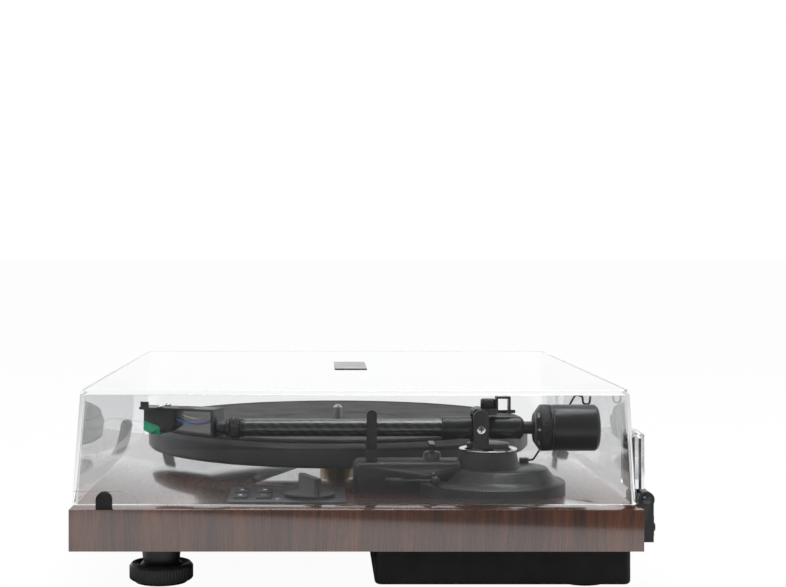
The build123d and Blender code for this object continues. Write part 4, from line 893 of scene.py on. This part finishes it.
# The grey is painted edge light: it stands for the light that the moulded step in clear acrylic bends and
# mirrors.
painted_step_light = finish("cover_step_painted_light", (0.3, 0.3, 0.32), 0.3, 0.4, grain=2500, bump=0.02, vary=0.1)
for label, side in (("left", -1), ("right", 1)):
    along_curve(f"cover_step_painted_line_{label}", wall_line(side), 0.22 * mm, painted_step_light, body_of["lid"], around=6,
                slot=slot_of["lid"])
print("two lines on the cover's walls")

# %% [markdown]
# The buttons carry small white marks, and a white triangle points at the knob. They are flat shapes a
# hair above the surface, written as corner points in millimetres.
# %% Marks on the buttons and the panel
button_tops = [(middle(f"button_{number}"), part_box(f"button_{number}")[1][2]) for number in range(1, 5)]
play = [[(-2.2, -1.3), (-0.2, 0), (-2.2, 1.3)], [(0.5, -1.3), (1.1, -1.3), (1.1, 1.3), (0.5, 1.3)],
        [(1.7, -1.3), (2.3, -1.3), (2.3, 1.3), (1.7, 1.3)]]
stop = [[(-1.3, -1.3), (1.3, -1.3), (1.3, 1.3), (-1.3, 1.3)]]
skip = [[(-2.0, -1.3), (0, 0), (-2.0, 1.3)], [(0, -1.3), (2.0, 0), (0, 1.3)],
        [(2.0, -1.3), (2.5, -1.3), (2.5, 1.3), (2.0, 1.3)]]
note = [[(0.3, -1.2), (0.7, -1.2), (0.7, 1.6), (0.3, 1.6)], [(0.7, 1.6), (0.7, 0.9), (1.7, 0.5), (1.7, 1.1)],
        [(-0.9, -1.5), (0.3, -1.8), (0.7, -1.1), (-0.4, -0.7)]]
ink = 0.03 * mm
for number, shapes in enumerate((play, stop, skip, note), 1):
    spot, top = button_tops[number - 1]
    batches = []
    for shape in shapes:
        corners = np.array([(spot[0] + x * mm, spot[1] + y * mm, top + ink) for x, y in shape])
        batches.append((corners, [list(range(len(shape)))]))
    points, faces = join_up(batches)
    put(f"button_mark_{number}", points, faces, white_ink, body_of[f"button_{number}"],
        slot=slot_of[f"button_{number}"])
panel_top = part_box("control_panel")[1][2]
knob_mid = middle("selector_knob")
tip = np.array([knob_mid[0] + 10 * mm, knob_mid[1] - 19 * mm, panel_top + ink])
triangle = [tip, tip + np.array([1.6, -3.2, 0]) * mm, tip + np.array([-1.6, -3.2, 0]) * mm]
put("panel_pointer", triangle, [[0, 1, 2]], white_ink, body_of["control_panel"],
    slot=slot_of["control_panel"])
print("marks on four buttons and the panel")

# %% [markdown]
# A front foot is an aluminium ring with grooves for the fingers round its side, over a rubber pad. The
# grooves are a flattened sine of the angle.
# %% Feet
for label in ("left", "right"):
    node = f"foot_ring_{label}"
    low, high = (np.array(corner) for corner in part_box(node))
    spot = ((low[0] + high[0]) / 2, (low[1] + high[1]) / 2, 0.0)
    side = [(21.0, 3.2 + 7.6 * step / 7) for step in range(8)]
    bottom = [(0, 1.6), (18.5, 1.6), (19.6, 1.8), (20.5, 2.5)]
    top = [(20.4, 11.6), (19.2, 12.9), (17.5, 12.6), (14, 11.7), (12.4, 13.4), (12, 14)]
    neck = [(3, 14), (3, 40), (0, 40)]
    profile = np.array(bottom + side + top + neck) * mm

    def ribs(angle, row):
        """Finger grooves of 0.45 mm on the rows of the side, none elsewhere."""
        return np.where((row > 3) & (row < 12), -0.45 * mm * np.clip(np.cos(60 * angle) + 0.2, 0, 1), 0)

    turned(f"foot_{label}_ribbed", profile, spot, satin_black, body_of[node], around=480, ripple=ribs,
           stands_for=(node,), smooth=40)
    turned(f"foot_{label}_pad", eased([(0, 0), (17, 0), (17, 1.6), (0, 1.6)], 0.3) * mm, spot, black_rubber,
           body_of[node], slot=slot_of[node])
print("two ribbed feet")

# %% [markdown]
# The room is as plain as can be: a wide pale floor, a white surround that mirrors and clear pieces also
# see, a softer surround for matt surfaces, and three large soft lamps.
# %% Floor, surround and lamps
world = bpy.data.worlds.new("studio")
bpy.context.scene.world = world
world.use_nodes = True
tree = world.node_tree
seen = add(tree, "ShaderNodeLightPath").outputs
clear_view = add(tree, "ShaderNodeMath", {0: seen["Is Camera Ray"], 1: seen["Is Transmission Ray"]},
                 operation="MAXIMUM")
toward = add(tree, "ShaderNodeSeparateXYZ", {0: add(tree, "ShaderNodeTexCoord").outputs["Generated"]}).outputs
room = add(tree, "ShaderNodeMapRange", {"Value": toward["X"], "From Min": -0.35, "From Max": 0.35,
                                        "To Min": 1.0, "To Max": 0.14}, interpolation_type="SMOOTHSTEP")
matt = add(tree, "ShaderNodeMix", {"Factor": seen["Is Glossy Ray"]}, data_type="FLOAT")
matt.inputs[2].default_value = 0.55
tree.links.new(room.outputs[0], matt.inputs[3])
strength = add(tree, "ShaderNodeMath", {0: matt.outputs[0], 1: clear_view.outputs[0]}, operation="MAXIMUM")
tree.links.new(strength.outputs[0], tree.nodes["Background"].inputs["Strength"])
tree.nodes["Background"].inputs["Color"].default_value = (1, 1, 1, 1)

floor_white = bpy.data.materials.new("pale_floor")
floor_white.use_nodes = True
tree = floor_white.node_tree
shader = tree.nodes["Principled BSDF"]
shader.inputs["Base Color"].default_value = (0.86, 0.86, 0.86, 1)
shader.inputs["Roughness"].default_value = 0.7
seen = add(tree, "ShaderNodeLightPath").outputs
looked_at = add(tree, "ShaderNodeMath", {0: seen["Is Camera Ray"], 1: seen["Is Transmission Ray"]},
                operation="MAXIMUM")
share = add(tree, "ShaderNodeMath", {0: looked_at.outputs[0], 1: 0.96}, operation="MULTIPLY")
glow = add(tree, "ShaderNodeEmission", {"Color": (1, 1, 1, 1), "Strength": 1.0})
floor_mix = add(tree, "ShaderNodeMixShader", {0: share.outputs[0], 1: shader.outputs[0], 2: glow.outputs[0]})
tree.links.new(floor_mix.outputs[0], tree.nodes["Material Output"].inputs["Surface"])
size = 40.0
mesh = bpy.data.meshes.new("studio_floor")
mesh.from_pydata([(-size, -size, 0), (size, -size, 0), (size, size, 0), (-size, size, 0)], [], [(0, 1, 2, 3)])
mesh.materials.append(floor_white)
ground = bpy.data.objects.new("studio_floor", mesh)
bpy.context.scene.collection.objects.link(ground)


def soft_lamp(name, place, target, width, height, power):
    """A large square lamp at a place, turned to face a target."""
    light = bpy.data.lights.new(name, "AREA")
    light.shape = "RECTANGLE"
    light.size = width
    light.size_y = height
    light.energy = power
    lamp = bpy.data.objects.new(name, light)
    bpy.context.scene.collection.objects.link(lamp)
    lamp.location = place
    aim = Vector(target) - Vector(place)
    lamp.rotation_euler = aim.to_track_quat("-Z", "Y").to_euler()
    return lamp


soft_lamp("key_lamp", (1.3, -1.1, 1.5), (0, 0, 0.05), 0.8, 0.8, 14)
soft_lamp("top_lamp", (0.1, 0.2, 1.6), (0, 0, 0.05), 1.2, 0.6, 14)
soft_lamp("rear_lamp", (0.6, 1.5, 1.0), (0, 0, 0.05), 0.7, 0.7, 7)
print("lamps:", len(bpy.data.lights))

# %% [markdown]
# The camera stands level with the cover, looks straight at the player's right side, and shifts its
# picture instead of tilting, so upright lines stay upright.
# %% Camera
view = bpy.data.cameras.new("photo_camera")
view.lens = 72.27
view.sensor_width = 36.0
view.shift_x = 0.0916
view.shift_y = -0.0528
camera = bpy.data.objects.new("photo_camera", view)
bpy.context.scene.collection.objects.link(camera)
camera.location = (1.213, centre_y - 0.0225, 0.2175)
camera.rotation_euler = (pi / 2, 0, pi / 2)
bpy.context.scene.camera = camera
bpy.context.scene.view_settings.view_transform = "Standard"
print("camera at", tuple(round(part, 3) for part in camera.location))
